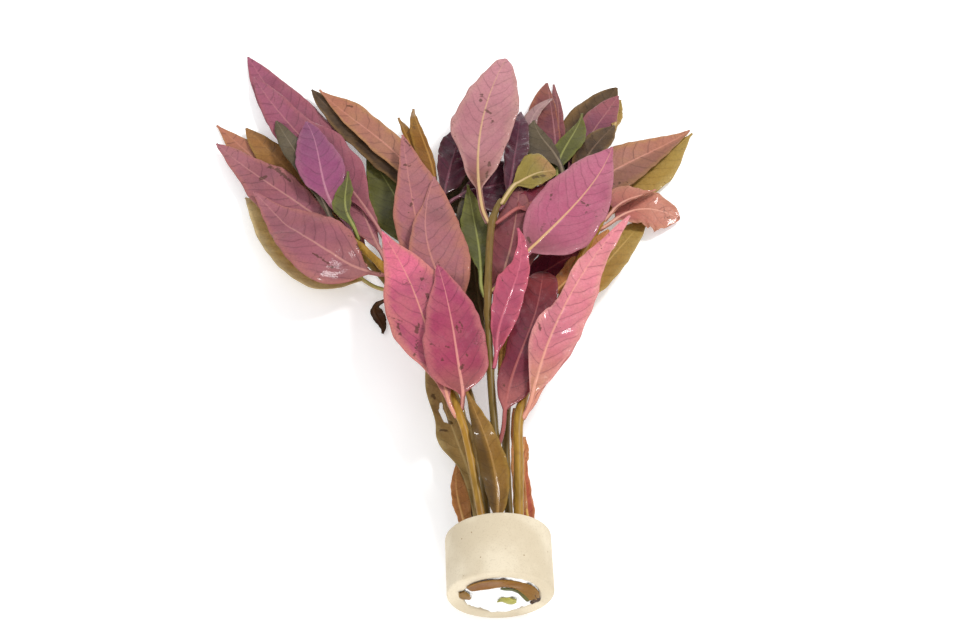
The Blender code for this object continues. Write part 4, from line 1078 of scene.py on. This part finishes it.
def make_wool(material):
    """A lumpy plug whose flat ends bulge softly."""
    shape = bmesh.new()
    bmesh.ops.create_uvsphere(shape, u_segments=144, v_segments=110, radius=1)
    for vert in shape.verts:
        x, y, z = vert.co
        flat = math.hypot(x, y)
        size = min(1.0, flat * 1.08) / flat if flat > 1e-6 else 0.0
        x, y = x * size, y * size
        end = math.copysign(min(1.0, abs(z) / 0.39) ** 0.6, z)
        spot = Vector((x * 3, end * 2, y * 3))
        lump = noise.noise(spot * 1.1) * 1.0 + noise.noise(spot * 2.9) * 0.5 + noise.noise(spot * 8) * 0.22
        crown = 0.5 * (1 - x * x - y * y)
        depth = end * (WOOL_LENGTH / 2 + crown) + lump * abs(end)
        depth = min(max(depth, -WOOL_LENGTH / 2 - 0.5), WOOL_LENGTH / 2 + 1.5)
        radius = (RING_BORE_RADIUS - WOOL_CLEARANCE) * (1 - max(0, noise.noise(spot * 4)) * 0.03)
        vert.co = world((RING_CENTRE[0] + x * radius, WOOL_END_Y + WOOL_LENGTH / 2 + depth,
                         RING_CENTRE[1] + y * radius))
    bmesh.ops.recalc_face_normals(shape, faces=shape.faces)
    finish_piece(mesh_piece("wool_plug", shape), material, "wool_plug")


def make_scrap(name, line, half, material, seed):
    """A crumpled strip that lies on the wool's end face."""
    rows = smooth_line([(x, RING_END_Y, z) for x, z in line], 8)
    run = run_lengths(rows)
    part, v = np.meshgrid(run / run[-1], np.linspace(-1, 1, SCRAP_COLUMNS), indexing="ij")
    ahead = np.gradient(rows, axis=0)
    sideways = np.stack([-ahead[:, 2], 0 * run, ahead[:, 0]], -1)
    sideways /= np.linalg.norm(sideways, axis=1)[:, None]
    width = half * (0.6 + 0.4 * np.sin(np.pi * part) ** 0.6) * (1 + 0.18 * np.sin(9 * part + seed))
    points = rows[:, None, :] + sideways[:, None, :] * (v * width)[..., None]
    points[..., 1] -= 0.35 + 0.3 * np.sin(7 * part + seed) * np.abs(v) + 0.25 * (1 - v ** 2)
    thickness = np.full_like(part, BLADE_THICKNESS)
    piece = blade_piece(name, points, part, v, (v + 3) * width, part * run[-1], thickness)
    finish_piece(piece, material, None)


# Stage

def make_floor():
    shape = bmesh.new()
    bmesh.ops.create_grid(shape, x_segments=2, y_segments=2, size=FLOOR_HALF_SIZE)
    floor = add_to_scene(mesh_piece("floor", shape))
    floor.data.materials.append(floor_material())


def make_light(name, place, size, power, target):
    light = bpy.data.lights.new(name, "AREA")
    light.shape = "SQUARE"
    light.size = size
    light.energy = power
    lamp = add_to_scene(bpy.data.objects.new(name, light))
    lamp.location = place
    lamp.rotation_euler = (Vector(target) - Vector(place)).to_track_quat("-Z", "Y").to_euler()


def make_camera():
    back = Vector((math.sin(CAMERA_AZIMUTH) * math.cos(CAMERA_ELEVATION),
                   -math.cos(CAMERA_AZIMUTH) * math.cos(CAMERA_ELEVATION), math.sin(CAMERA_ELEVATION)))
    camera = add_to_scene(bpy.data.objects.new("camera", bpy.data.cameras.new("camera")))
    camera.data.lens = CAMERA_LENS
    camera.data.sensor_width = SENSOR_WIDTH
    camera.data.clip_start = 0.01
    camera.location = Vector(world(CAMERA_TARGET)) + back * CAMERA_DISTANCE * MM
    camera.rotation_euler = (-back).to_track_quat("-Z", "Y").to_euler()
    bpy.context.scene.camera = camera


def make_world():
    studio = bpy.data.worlds.new("studio")
    studio.use_nodes = True
    colour, strength = studio.node_tree.nodes["Background"].inputs[:2]
    colour.default_value = (1.0, 1.0, 1.0, 1.0)
    strength.default_value = SKY_STRENGTH
    bpy.context.scene.world = studio


def main():
    bpy.context.scene.view_settings.view_transform = "Standard"
    make_camera()
    make_world()
    make_floor()
    for light in LIGHTS:
        make_light(*light)
    make_ring(ceramic_material())
    make_wool(wool_material())
    tan = stem_material("Stem tan", "9C701C", "84621C", "B48C34")
    dark = stem_material("Stem dark", "6C5020", "64501E", "80642C")
    for stem in STEMS:
        make_stem(stem, tan if stem in ("left", "right") else dark)
    materials = {tone: leaf_material("Leaf " + tone.replace("_", " "), row) for tone, row in TONES.items()}
    for seed, laid in enumerate(lay_pile()):
        make_leaf(laid, materials[laid.leaf.tone], seed)
    for seed, (name, tone, slot_name, line, half) in enumerate(SCRAPS):
        make_scrap(name, line, half, materials[tone], seed)
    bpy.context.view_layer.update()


main()
